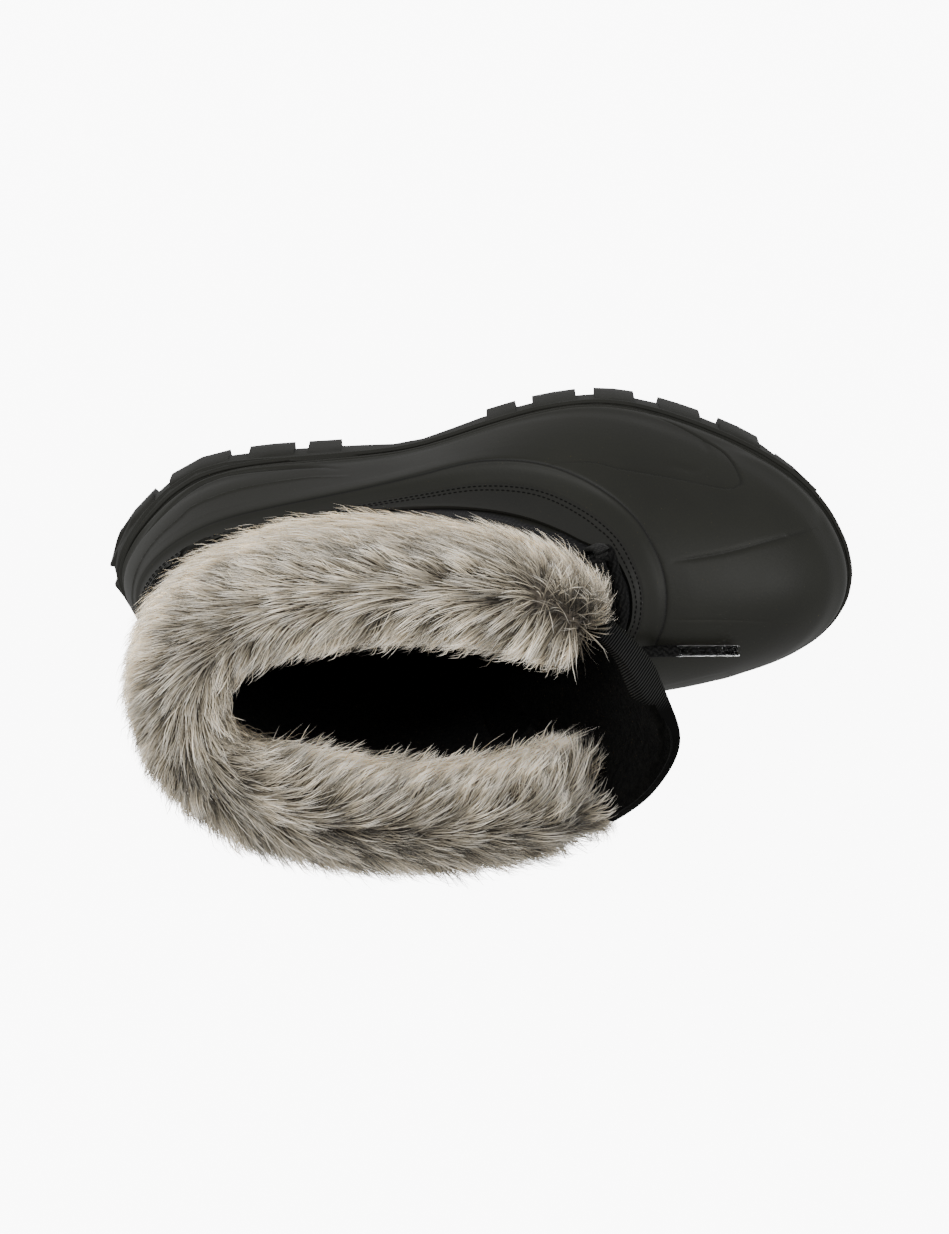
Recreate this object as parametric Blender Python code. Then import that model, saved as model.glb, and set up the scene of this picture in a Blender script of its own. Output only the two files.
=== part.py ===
"""A left snow boot, standing empty on its sole.

A moulded rubber foot shell sits on a lugged outsole. A textile upper is sewn inside the shell's flange and laced
over a padded tongue, and a deep fur cuff straddles the collar. +X points to the toe, +Y to the outer (lateral)
side of this left boot and +Z up. Tables and sizes are in millimetres, with X counted from the back of the heel;
the meshes are scaled to metres, and the empty named boot puts the middle of the boot at the origin.
"""

import math
import random

import bmesh
import bpy
import numpy as np

MM = 0.001
BOOT_MIDDLE = (144.3, 2.4, 0.0)  # from the heel's back and the heel's centre line to the middle of the boot
GAP = 0.3  # between touching pieces
COLUMNS = 56  # round the foot

# ---------------------------------------------------------------- the form of the foot and shaft

# Once round the foot, from the back of the heel along the lateral side to the toe and back along the medial side.
# rim: where the shell meets the outsole; ledge: the raised edge round the top of the shell's thick wall.
# flare: how far the outsole stands out past the rim. rise: upward pull of the wall at the rim.
# run and drop: outward and downward pull of the wall at the ledge. tuck and lift: inward and upward size of the
# sewing flange above the ledge.
STATION_COLUMNS = (
    "rim_x", "rim_y", "rim_z", "ledge_x", "ledge_y", "ledge_z", "flare", "rise", "run", "drop", "tuck", "lift",
)  # fmt: skip
STATIONS = {
    "heel back": (9.0, 0.5, 34.0, 16.5, 1.5, 84.0, 6.0, 18, 2.5, 16, 2.5, 10.0),
    "heel turn, lateral": (15.0, 15.5, 33.5, 22.5, 15.5, 83.0, 4.5, 18, 2.5, 16, 2.5, 10.0),
    "heel corner, lateral": (34.0, 34.5, 32.5, 40.0, 27.8, 80.0, 2.5, 18, 3, 15, 3.0, 9.5),
    "heel side, lateral": (60.0, 41.8, 31.5, 64.0, 34.0, 74.0, 1.6, 15, 3, 13, 3.8, 9.0),
    "waist back, lateral": (92.0, 44.6, 30.0, 94.0, 38.6, 66.0, 1.2, 12, 2, 11, 4.6, 8.6),
    "waist, lateral": (120.0, 48.0, 29.0, 122.0, 44.5, 62.0, 1.0, 12, 2, 11, 6.5, 8.0),
    "joint, lateral": (146.0, 56.0, 28.0, 145.0, 50.0, 61.5, 0.9, 12, 3, 11, 9.0, 7.0),
    "ball, lateral": (172.0, 63.2, 27.5, 168.0, 49.5, 65.0, 0.9, 14, 8, 10, 9.5, 7.5),
    "fore part, lateral": (198.0, 64.8, 28.0, 188.0, 43.0, 73.0, 0.9, 17, 12, 10, 10.0, 8.0),
    "toe side, lateral": (228.0, 57.0, 30.5, 203.0, 32.0, 80.0, 1.2, 20, 18, 10, 10.0, 8.2),
    "toe turn, lateral": (257.0, 43.8, 33.5, 211.0, 19.0, 84.0, 1.6, 23, 27, 9, 10.0, 8.2),
    "toe corner, lateral": (276.5, 26.5, 36.5, 214.2, 9.0, 85.6, 2.0, 25, 36, 9, 10.0, 8.2),
    "toe tip": (286.5, 1.5, 38.0, 214.8, 0.0, 86.0, 2.5, 26, 40, 8, 10.0, 8.2),
    "toe corner, medial": (278.5, -19.5, 36.5, 213.6, -9.0, 85.6, 2.0, 25, 35, 9, 10.0, 8.2),
    "toe turn, medial": (260.0, -32.5, 33.5, 209.5, -18.5, 84.0, 1.6, 23, 24, 9, 10.0, 8.2),
    "toe side, medial": (234.0, -41.0, 30.5, 201.0, -29.0, 80.0, 1.4, 20, 14, 10, 9.5, 8.2),
    "ball, medial": (206.0, -44.5, 28.0, 186.0, -36.5, 74.0, 1.4, 17, 8, 10, 8.0, 8.2),
    "joint, medial": (176.0, -42.5, 27.5, 166.0, -38.8, 68.5, 1.4, 14, 4, 11, 6.5, 8.2),
    "waist, medial": (146.0, -37.2, 29.5, 145.0, -37.6, 65.5, 1.4, 12, 2, 11, 5.0, 8.5),
    "arch, medial": (118.0, -35.0, 31.0, 121.0, -36.0, 65.5, 1.4, 12, 2, 11, 4.0, 8.8),
    "waist back, medial": (92.0, -36.6, 32.0, 94.0, -34.5, 68.0, 1.4, 12, 2, 11, 3.6, 9.0),
    "heel side, medial": (60.0, -39.2, 32.0, 64.0, -31.5, 75.0, 1.8, 15, 3, 13, 3.2, 9.2),
    "heel corner, medial": (34.0, -33.5, 32.5, 40.0, -25.5, 80.0, 2.5, 18, 3, 15, 3.0, 9.5),
    "heel turn, medial": (15.0, -14.5, 33.5, 22.5, -13.0, 83.0, 4.5, 18, 2.5, 16, 2.5, 10.0),
}
FRONT = 12.0  # the toe tip's station, counted from the back of the heel

# Sections of the upper. height: millimetres up the wall from the ledge. x and z at back, side and front.
# lateral and medial: reach to each side. power: 2 is an ellipse, more is squarer. throat: half the opening's width.
SECTION_COLUMNS = (
    "height", "back_x", "back_z", "side_z", "front_x", "front_z", "lateral", "medial", "power", "throat",
)  # fmt: skip
SECTIONS = {
    "band": (28, 20.5, 101, 84, 193.5, 103, 36.5, 34.0, 2.3, 0.0),
    "instep": (46, 23.5, 118, 107, 182.5, 119, 35.5, 34.0, 2.3, 13.0),
    "ankle": (69, 28.0, 140, 133, 174.0, 141, 36.5, 35.5, 2.2, 15.0),
    "calf": (98, 34.5, 169, 166, 172.5, 170, 39.0, 38.5, 2.2, 19.0),
    "cuff": (130, 41.0, 201, 200, 184.0, 201, 41.5, 41.0, 2.2, 27.0),
    "collar": (170, 47.0, 240, 240, 200.0, 240, 43.0, 43.0, 2.3, 36.0),
}
FLANGE_TOP = 11.0  # millimetres up the wall from the ledge
BAND_TOP = 27.0
THROAT_FOOT = 22.0
COLLAR_TOP = 170.0
FLANGE_DEPTH = 1.4  # step inwards from the ledge to the flange
FLANGE_WALL = 1.8
SHELL_WALL = 3.0
BAND_DEPTH = 2.5  # the synthetic band lies this far inside the form
SHAFT_DEPTH = 3.9


def spline(knots, values):
    """A smooth curve through the values, as a function of the place along the knots."""
    knots, values = np.asarray(knots, float), np.asarray(values, float)
    count, step = len(knots), np.diff(np.asarray(knots, float))
    matrix, right = np.eye(count), np.zeros(values.shape)
    for i in range(1, count - 1):
        matrix[i, i - 1 : i + 2] = step[i - 1], 2 * (step[i - 1] + step[i]), step[i]
        right[i] = 6 * ((values[i + 1] - values[i]) / step[i] - (values[i] - values[i - 1]) / step[i - 1])
    bend = np.linalg.solve(matrix, right.reshape(count, -1)).reshape(values.shape)

    def at(place):
        place = np.atleast_1d(np.asarray(place, float))
        i = np.clip(np.searchsorted(knots, place, side="right") - 1, 0, count - 2)
        wide = (-1,) + (1,) * (values.ndim - 1)
        h = step[i].reshape(wide)
        b = ((place - knots[i]) / step[i]).reshape(wide)
        a = 1 - b
        curve = (a**3 - a) * bend[i] + (b**3 - b) * bend[i + 1]
        return a * values[i] + b * values[i + 1] + curve * h * h / 6

    return at


STATION_COUNT = len(STATIONS)
WRAP = 5  # stations repeated past each end, so that the curve closes smoothly
_stations = np.array(list(STATIONS.values()), float)
_around = spline(
    np.arange(-WRAP, STATION_COUNT + WRAP + 1),
    _stations[np.arange(-WRAP, STATION_COUNT + WRAP + 1) % STATION_COUNT],
)


def station(turn):
    """The station table's columns at each place round the foot (0 at the heel's back, 12 at the toe tip)."""
    values = _around(np.mod(turn, STATION_COUNT))
    return {name: values[:, i] for i, name in enumerate(STATION_COLUMNS)}


def stacked(x, y, z):
    return np.stack([x, y, z], axis=-1)


def flat_normal(point, turn):
    """The outward direction, level with the floor, of the curve that point() gives round the foot."""
    turn = np.asarray(turn, float)
    along = point(turn + 0.05) - point(turn - 0.05)
    across = stacked(-along[:, 1], along[:, 0], np.zeros(len(along)))
    return across / np.linalg.norm(across, axis=1)[:, None]


def rim(turn):
    s = station(turn)
    return stacked(s["rim_x"], s["rim_y"], s["rim_z"])


def ledge(turn):
    s = station(turn)
    return stacked(s["ledge_x"], s["ledge_y"], s["ledge_z"])


FINE_TURNS = np.arange(-2, STATION_COUNT + 2.01, 0.25)


def shell_controls(turn):
    """The four points that pull each stretch of the shell's wall: rim, above the rim, below the ledge, ledge."""
    s = station(turn)
    zero = np.zeros(len(turn))
    second = ledge(turn) + flat_normal(ledge, turn) * s["run"][:, None] - stacked(zero, zero, s["drop"])
    return np.stack([rim(turn), rim(turn) + stacked(zero, zero, s["rise"]), second, ledge(turn)], axis=1)


_shell_around = spline(FINE_TURNS, shell_controls(FINE_TURNS))


def shell_wall(turn, up):
    """The shell's outer face: up runs from 0 at the rim to 1 at the ledge."""
    pulls = np.array([(1 - up) ** 3, 3 * (1 - up) ** 2 * up, 3 * (1 - up) * up**2, up**3])
    return np.einsum("j,ijk->ik", pulls, _shell_around(np.mod(turn, STATION_COUNT)))


def section_ring(name, turn):
    """One section of the upper, at the places round the foot that face the ledge's own."""
    s = dict(zip(SECTION_COLUMNS, SECTIONS[name]))
    back_x, front_x = ledge([0.0])[0, 0], ledge([FRONT])[0, 0]
    share = np.clip((ledge(turn)[:, 0] - back_x) / (front_x - back_x), 0, 1)
    reach = (1 - np.abs(2 * share - 1) ** s["power"]) ** (1 / s["power"])
    side = np.where(np.mod(turn, STATION_COUNT) <= FRONT, s["lateral"], -s["medial"])
    ahead = 2 * share - 1
    height = (
        s["side_z"]
        + (s["back_z"] - s["side_z"]) * np.clip(-ahead, 0, 1) ** 1.6
        + (s["front_z"] - s["side_z"]) * np.clip(ahead, 0, 1) ** 1.6
    )
    return stacked(s["back_x"] + share * (s["front_x"] - s["back_x"]), side * reach, height)


def flange_ring(turn):
    s = station(turn)
    up = stacked(np.zeros(len(s["lift"])), np.zeros(len(s["lift"])), s["lift"])
    return ledge(turn) - flat_normal(ledge, turn) * s["tuck"][:, None] + up


UPPER_KNOTS = [0.0, FLANGE_TOP] + [row[0] for row in SECTIONS.values()]


_upper_rows = [ledge(FINE_TURNS), flange_ring(FINE_TURNS)] + [section_ring(name, FINE_TURNS) for name in SECTIONS]
_upper_around = spline(FINE_TURNS, np.stack(_upper_rows, axis=1))
_upper_shares = spline(UPPER_KNOTS, np.eye(len(UPPER_KNOTS)))


def upper_wall(turn, height):
    """The form above the ledge; height is in millimetres up the wall."""
    return np.einsum("j,ijk->ik", _upper_shares(height)[0], _upper_around(np.mod(turn, STATION_COUNT)))


def surface(turn, place, offset=0.0, of_shell=False):
    """Points on the boot's outer form, moved along its outward normal by offset.

    place is -1 at the rim, 0 at the ledge and then millimetres up the upper's wall.
    """
    turn = np.atleast_1d(np.asarray(turn, float))
    if of_shell or place < 0:
        here, low, high = shell_wall(turn, 1 + place), max(place - 0.03, -1), min(place + 0.03, 0)
        climb = shell_wall(turn, 1 + high) - shell_wall(turn, 1 + low)
    else:
        here, low, high = upper_wall(turn, place), max(place - 1, 0), min(place + 1, COLLAR_TOP)
        climb = upper_wall(turn, high) - upper_wall(turn, low)
    half = 0.04

    def near(t):
        return shell_wall(t, 1 + place) if of_shell or place < 0 else upper_wall(t, place)

    along = near(turn + half) - near(turn - half)
    normal = np.cross(climb, along)
    normal /= np.linalg.norm(normal, axis=1)[:, None]
    return here + normal * np.reshape(offset, (-1, 1))


def turn_at(height, reach, lateral):
    """Where round the front the upper's wall lies this far (in mm) to one side of the centre line."""
    low, high = (6.5, FRONT) if lateral else (FRONT, 17.5)
    for _ in range(40):
        middle = (low + high) / 2
        wide = abs(upper_wall(middle, height)[0, 1]) > reach
        if wide == lateral:
            low = middle
        else:
            high = middle
    return (low + high) / 2


_throat = spline([row[0] for row in SECTIONS.values()], [row[-1] for row in SECTIONS.values()])


def throat_width(height):
    """Half the throat's opening: it starts as a round notch and widens up to the collar."""
    notch = 13.5 * math.sqrt(max(0.0, 1 - ((46 - height) / (46 - THROAT_FOOT)) ** 2)) if height < 46 else 99
    return min(notch, float(_throat(max(height, 46))[0])) if height > THROAT_FOOT else 0.0


# ---------------------------------------------------------------- meshes and materials


def material(name, colour, roughness, metallic=0.0):
    made = bpy.data.materials.new(name)
    made.use_nodes = True
    shader = made.node_tree.nodes["Principled BSDF"]
    shader.inputs["Base Color"].default_value = (*colour, 1)
    shader.inputs["Roughness"].default_value = roughness
    shader.inputs["Metallic"].default_value = metallic
    return made


def solid(name, bm, finish, hidden=False):
    """An object from a bmesh in millimetres, parented to the boot."""
    bmesh.ops.recalc_face_normals(bm, faces=bm.faces)
    bmesh.ops.scale(bm, vec=(MM, MM, MM), verts=bm.verts)
    mesh = bpy.data.meshes.new(name)
    bm.to_mesh(mesh)
    bm.free()
    mesh.shade_smooth()
    mesh.set_sharp_from_angle(angle=math.radians(35))
    obj = bpy.data.objects.new(name, mesh)
    mesh.materials.append(finish)
    obj.parent = BOOT
    obj.hide_render = hidden
    if hidden:
        obj.display_type = "WIRE"
    bpy.context.scene.collection.objects.link(obj)
    return obj


def add_row(bm, points):
    return [bm.verts.new(point) for point in points]


def skin(bm, rows, closed_rows=True):
    """Faces between each row of vertices and the next."""
    for lower, upper in zip(rows, rows[1:]):
        last = len(lower) if closed_rows else len(lower) - 1
        for i in range(last):
            j = (i + 1) % len(lower)
            corners = list(dict.fromkeys([lower[i], lower[j], upper[j], upper[i]]))
            if len(corners) > 2 and bm.faces.get(corners) is None:
                bm.faces.new(corners)


def ring_solid(name, rings, finish):
    """A hollow solid from closed rings that run up its outer face and down its inner one."""
    bm = bmesh.new()
    rows = [add_row(bm, ring) for ring in rings]
    skin(bm, rows + rows[:1])
    return solid(name, bm, finish)


def ladder(bm, ring, height=None, rungs=2):
    """Closes a ring that goes round the foot, with strips from its lateral to its medial side."""
    half = len(ring) // 2
    rows = [[ring[0]]]
    for i in range(1, half):
        first, last = ring[i].co, ring[-i].co
        row = [ring[i]]
        for j in range(1, rungs + 1):
            point = first.lerp(last, j / (rungs + 1))
            if height:
                point.z = height(point)
            row.append(bm.verts.new(point))
        rows.append(row + [ring[-i]])
    rows.append([ring[half]])
    for near, far in zip(rows, rows[1:]):
        if len(near) == 1 or len(far) == 1:
            tip, row = (near[0], far) if len(near) == 1 else (far[0], near)
            for a, b in zip(row, row[1:]):
                bm.faces.new((tip, a, b))
        else:
            skin(bm, [near, far], closed_rows=False)


def fuse(target, other):
    join = target.modifiers.new("fuse " + other.name, "BOOLEAN")
    join.operation = "UNION"
    join.solver = "EXACT"
    join.use_self = True
    join.object = other


# ---------------------------------------------------------------- outsole: lugged rubber

LUG_HEIGHT = 7.0
LUG_REACH = 3.4  # how far a side lug stands out past the sole's edge
LUG_SINK = 3.0  # how far a lug's root runs into the sole
TOE_SPRING = 15.0
SPRING_START = 205.0
ARCH_RISE = 7.0
ARCH_START, ARCH_END = 92.0, 146.0
HEEL_BEVEL, HEEL_BEVEL_LENGTH = 2.5, 14.0

# Side lugs, as stretches of X along each edge, and how far each runs in under the sole.
SIDE_LUGS = {
    "lateral": [(8, 22), (28, 49), (56.5, 74), (79.5, 92), (148.5, 159.5), (166, 182.5), (189.5, 204.5),
                (214, 229.5), (237, 252), (260, 273)],
    "medial": [(10, 24), (30, 50), (57, 74), (80, 92), (148, 159), (165, 180), (186, 201), (208, 222),
               (229, 243), (252, 266)],
}  # fmt: skip
SIDE_LUG_DEPTH = 15.0
SIDE_LUG_TOP = 22.0
# Lugs down the middle of the tread: X of the middle, Y of the middle, length, width, and slant to one side.
MIDDLE_LUGS = [
    (9.5, 0.5, 11, 22, 0), (33, 0.5, 15, 24, 0), (54, 1.0, 15, 26, 0), (76, 1.5, 15, 24, 0),
    (158, 20, 12, 26, 5), (158, -10, 12, 22, -5), (178, 21, 12, 28, 5), (178, -11, 12, 24, -5),
    (198, 21, 12, 30, 5), (198, -12, 12, 26, -5), (218, 18, 12, 28, 5), (218, -12, 12, 24, -5),
    (238, 14, 12, 24, 5), (238, -11, 12, 20, -5), (257, 6, 11, 34, 0), (278, 3, 9, 26, 0),
]  # fmt: skip
ARCH_BARS = [(103, 4, 6, 60), (118, 5, 6, 60), (133, 8, 6, 66)]


def ground(x):
    """The height of the tread's lowest surface above the floor, with heel bevel, arch and toe spring."""
    if x < HEEL_BEVEL_LENGTH:
        return HEEL_BEVEL * ((HEEL_BEVEL_LENGTH - x) / HEEL_BEVEL_LENGTH) ** 2
    if ARCH_START < x < ARCH_END:
        return ARCH_RISE * math.sin(math.pi * (x - ARCH_START) / (ARCH_END - ARCH_START)) ** 2
    if x > SPRING_START:
        return TOE_SPRING * ((x - SPRING_START) / (290 - SPRING_START)) ** 2
    return 0.0


def sole_edge(turn, out, height):
    """Points round the outsole, a share of the flare out from the rim (plus millimetres), at the given height."""
    share, more = out
    flare = station(turn)["flare"] * share + more
    points = rim(turn) + flat_normal(rim, turn) * flare[:, None]
    points[:, 2] = [height(point) for point in points]
    return points


def edge_turn(x, lateral):
    """Where round the foot the sole's edge reaches this X on one side."""
    low, high = (0.0, FRONT) if lateral else (FRONT, float(STATION_COUNT))
    for _ in range(40):
        middle = (low + high) / 2
        if (rim(np.array([middle]))[0, 0] < x) == lateral:
            low = middle
        else:
            high = middle
    return (low + high) / 2


def block(bm, footprint, bottom, top, inset=0.0):
    """A closed block over a footprint of (x, y) corners, its top drawn in a little."""
    middle = np.mean(footprint, axis=0)
    low = [bm.verts.new((x, y, bottom(x))) for x, y in footprint]
    high = []
    for x, y in footprint:
        pull = inset / max(1e-6, math.dist((x, y), middle))
        high.append(bm.verts.new((x + (middle[0] - x) * pull, y + (middle[1] - y) * pull, top(x))))
    skin(bm, [low, high])
    bm.faces.new(low)
    bm.faces.new(high)


def side_lug(bm, start, end, lateral):
    """A lug that wraps from the tread up the side of the sole, its upper edge chamfered."""
    turns = np.array([edge_turn(x, lateral) for x in (start, (start + end) / 2, end)])
    foot = sole_edge(turns, (1, LUG_REACH - 1.2), lambda p: ground(p[0]))
    out = sole_edge(turns, (1, LUG_REACH), lambda p: ground(p[0]) + LUG_HEIGHT)
    shoulder = sole_edge(turns, (1, LUG_REACH), lambda p: ground(p[0]) + SIDE_LUG_TOP - 4)
    crown = sole_edge(turns, (1, LUG_REACH - 2.5), lambda p: ground(p[0]) + SIDE_LUG_TOP)
    root = sole_edge(turns, (0, -6), lambda p: ground(p[0]) + SIDE_LUG_TOP - 1)
    under = sole_edge(turns, (0, -6), lambda p: ground(p[0]) + LUG_HEIGHT + LUG_SINK)
    back = sole_edge(turns, (0, -SIDE_LUG_DEPTH), lambda p: ground(p[0]) + LUG_HEIGHT + LUG_SINK)
    tread = sole_edge(turns, (0, -SIDE_LUG_DEPTH), lambda p: ground(p[0]))
    columns = [
        add_row(bm, column) for column in zip(*(foot, out, shoulder, crown, root, under, back, tread))
    ]
    skin(bm, columns)
    bm.faces.new(columns[0])
    bm.faces.new(columns[-1])


def make_outsole(finish):
    turns = np.arange(COLUMNS) * STATION_COUNT / COLUMNS
    bm = bmesh.new()
    rows = [
        add_row(bm, sole_edge(turns, (1, -2.5), lambda p: ground(p[0]) + LUG_HEIGHT)),
        add_row(bm, sole_edge(turns, (1, -0.3), lambda p: ground(p[0]) + LUG_HEIGHT + 2)),
        add_row(bm, sole_edge(turns, (1, 0), lambda p: ground(p[0]) + LUG_HEIGHT + 5)),
        add_row(bm, sole_edge(turns, (0.55, 0.4), lambda p: p[2] - 5)),
        add_row(bm, sole_edge(turns, (0.2, 0.9), lambda p: p[2] - 1.2)),
        add_row(bm, sole_edge(turns, (0, 0.2), lambda p: p[2])),
    ]
    skin(bm, rows)
    ladder(bm, rows[0], lambda p: ground(p.x) + LUG_HEIGHT)
    ladder(bm, rows[-1])
    outsole = solid("outsole", bm, finish)

    bm = bmesh.new()
    for side, stretches in SIDE_LUGS.items():
        for start, end in stretches:
            side_lug(bm, start, end, side == "lateral")
    root = LUG_HEIGHT + LUG_SINK
    for x, y, length, width, slant in MIDDLE_LUGS:
        corners = [(-1, -1), (1, -1), (1, 1), (-1, 1)]
        footprint = [(x + a * length / 2 + b * slant / 2, y + b * width / 2) for a, b in corners]
        block(bm, footprint, ground, lambda x: ground(x) + root, inset=-1.2)
    for x, y, length, width in ARCH_BARS:
        footprint = [(x + a * length / 2, y + b * width / 2) for a, b in ((-1, -1), (1, -1), (1, 1), (-1, 1))]
        block(bm, footprint, lambda x: ground(x) + 3, lambda x: ground(x) + root, inset=-1.0)
    fuse(outsole, solid("tread_lugs", bm, finish, hidden=True))
    return outsole


# ---------------------------------------------------------------- shell: moulded rubber

# Up the shell's side: place from -1 at the rim to 0 at the ledge, and how far the face stands out there at the
# heel (a bead, a hollow channel and the raised counter) and over the fore part (the toe bumper).
SHELL_ROWS = [
    (-1.0, -0.9, -0.9), (-0.95, 0.6, 0.5), (-0.87, 0.9, 0.7), (-0.81, -0.9, -0.2), (-0.72, -1.0, 0.0),
    (-0.66, 0.7, 0.0), (-0.52, 1.0, 0.0), (-0.36, 0.9, 0.0), (-0.16, 0.4, 0.1), (0.0, 0.2, 0.4),
]  # fmt: skip
HEEL_REACH = 3.6  # stations from the heel's back over which its relief fades out


def heel_share(turn):
    away = np.minimum(turn, STATION_COUNT - turn)
    return 0.5 + 0.5 * np.cos(np.pi * np.clip(away / HEEL_REACH, 0, 1))


def make_shell(finish):
    turns = np.arange(COLUMNS) * STATION_COUNT / COLUMNS
    share = heel_share(turns)
    rings = [
        surface(turns, place, heel * share + fore * (1 - share), of_shell=True)
        for place, heel, fore in SHELL_ROWS
    ]
    rings[0][:, 2] = rim(turns)[:, 2] + GAP
    rings += [surface(turns, place, -FLANGE_DEPTH) for place in (1.2, 6.0, FLANGE_TOP)]
    rings += [surface(turns, place, -FLANGE_DEPTH - FLANGE_WALL) for place in (FLANGE_TOP, 1.5)]
    rings += [surface(turns, place, -SHELL_WALL, of_shell=True) for place in (-0.15, -0.55)]
    bottom = rim(turns) - flat_normal(rim, turns) * SHELL_WALL
    bottom[:, 2] += GAP
    return ring_solid("shell", rings + [bottom], finish)


# ---------------------------------------------------------------- insole


def make_insole(finish):
    turns = np.arange(0, COLUMNS, 2) * STATION_COUNT / COLUMNS
    edge = rim(turns) - flat_normal(rim, turns) * (SHELL_WALL + 2.0)
    bm = bmesh.new()
    rows = []
    for lift, draw in ((GAP, 0.8), (2.0, 0.4), (4.5, 1.4), (5.5, 3.0)):
        ring = edge - flat_normal(rim, turns) * draw
        ring[:, 2] += lift
        rows.append(add_row(bm, ring))
    skin(bm, rows)
    ladder(bm, rows[0], rungs=1)
    ladder(bm, rows[-1], rungs=1)
    return solid("insole", bm, finish)


# ---------------------------------------------------------------- upper: textile shaft with a synthetic band

# Up the upper's wall, with how far its outer and inner faces lie inside the form.
UPPER_ROWS = [
    (5.0, 3.7, 6.2), (FLANGE_TOP + 0.4, 3.6, 6.4), (FLANGE_TOP + 1.2, BAND_DEPTH, 6.6), (17, BAND_DEPTH, 6.9),
    (THROAT_FOOT, BAND_DEPTH, 6.9), (THROAT_FOOT + 1.5, BAND_DEPTH, 6.9), (BAND_TOP, BAND_DEPTH, 6.9),
    (BAND_TOP + 0.8, SHAFT_DEPTH, 6.9), (37, SHAFT_DEPTH, 6.9), (46, SHAFT_DEPTH, 6.9),
    (64, SHAFT_DEPTH, 6.9), (86, SHAFT_DEPTH, 6.9), (112, SHAFT_DEPTH, 6.9),
    (140, SHAFT_DEPTH, 6.9), (COLLAR_TOP, SHAFT_DEPTH, 6.9),
]  # fmt: skip
UPPER_COLUMNS = 42


def upper_turns(height, count, trim=0.0):
    """Places round the upper from the lateral edge of the throat, back round the heel, to its medial edge."""
    width = throat_width(height) + trim
    if width <= 0:
        return np.linspace(FRONT, FRONT - STATION_COUNT, count + 1)
    lateral = turn_at(height, width, lateral=True)
    medial = turn_at(height, width, lateral=False) - STATION_COUNT
    return np.linspace(lateral, medial, count + 1)


def make_upper(finish):
    bm = bmesh.new()
    outer, inner = [], []
    for height, depth, back in UPPER_ROWS:
        closed = throat_width(height) <= 0
        for rows, offset in ((outer, -depth), (inner, -back)):
            points = surface(upper_turns(height, UPPER_COLUMNS), height, offset)
            row = add_row(bm, points[:-1] if closed else points)
            rows.append(row + row[:1] if closed else row)
    skin(bm, outer, closed_rows=False)
    skin(bm, inner, closed_rows=False)
    skin(bm, [outer[0], inner[0]], closed_rows=False)
    skin(bm, [outer[-1], inner[-1]], closed_rows=False)
    for column in (0, -1):
        edge = [[out[column], back[column]] for out, back in zip(outer, inner) if out[0] is not out[-1]]
        foot = next(i for i, out in enumerate(outer) if out[0] is not out[-1]) - 1
        skin(bm, [[outer[foot][0], inner[foot][0]]] + edge, closed_rows=False)
    return solid("upper", bm, finish)


# ---------------------------------------------------------------- facings and lace loops: webbing on the throat

FACING_ROWS = [23.5, BAND_TOP + 0.3, BAND_TOP + 2.5, 37, 46, 64, 86, 112]
FACING_WIDTH = 14.0
FACING_THICKNESS = 1.5
FACING_GAP = 0.6  # the facings bend two ways, so their flat faces need more room than GAP
LOOP_HEIGHTS = [28, 47, 67, 88]
LOOP_INSET = 8.5  # from the throat's edge to the loop's middle
LOOP_WIDTH, LOOP_RISE, LOOP_WEB, LOOP_THICKNESS = 13.0, 9.6, 7.0, 1.2
LACE_RADIUS = 2.3
LACE_LIFT = 3.6  # the lace's middle above the floor of each loop
EDGE_LIFT = FACING_GAP + FACING_THICKNESS - SHAFT_DEPTH + LACE_RADIUS + 0.8  # over the facings' edges
LACE_REACH = LOOP_WEB / 2 + 1.2  # how far the lace runs straight each side of a loop's middle


def face_depth(height):
    """How far inside the form the upper's outer face lies."""
    return BAND_DEPTH if height < BAND_TOP + 0.5 else SHAFT_DEPTH


def facing_point(height, inset, lateral, offset):
    turn = turn_at(height, throat_width(height) + inset, lateral)
    return surface(turn, height, offset)[0]


def make_facing(name, lateral, finish):
    """An eyestay strip, cut between two forms that lie just outside the upper's own."""
    bm = bmesh.new()
    rows = []
    for height in FACING_ROWS:
        low = FACING_GAP - face_depth(height)
        high = low + FACING_THICKNESS
        insets = np.linspace(1.5, 1.5 + FACING_WIDTH, 5)
        under = [facing_point(height, inset, lateral, low) for inset in insets]
        over = [facing_point(height, inset, lateral, high) for inset in insets]
        rows.append(add_row(bm, under + over[::-1]))
    skin(bm, rows)
    bm.faces.new(rows[0])
    bm.faces.new(rows[-1])
    return solid(name, bm, finish)


def loop_frame(height, lateral):
    """The foot of a lace loop on the facing, with its outward, upward and sideways directions."""
    turn = turn_at(height, throat_width(height) + LOOP_INSET, lateral)
    spot = surface(turn, height, FACING_GAP + FACING_THICKNESS + 0.9 - face_depth(height - LOOP_WEB / 2))[0]
    out = surface(turn, height, 10)[0] - surface(turn, height, 0)[0]
    up = surface(turn, height + 4)[0] - surface(turn, height - 4)[0]
    out /= np.linalg.norm(out)
    up -= out * np.dot(up, out)
    up /= np.linalg.norm(up)
    return spot, out, up, np.cross(up, out)


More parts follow.
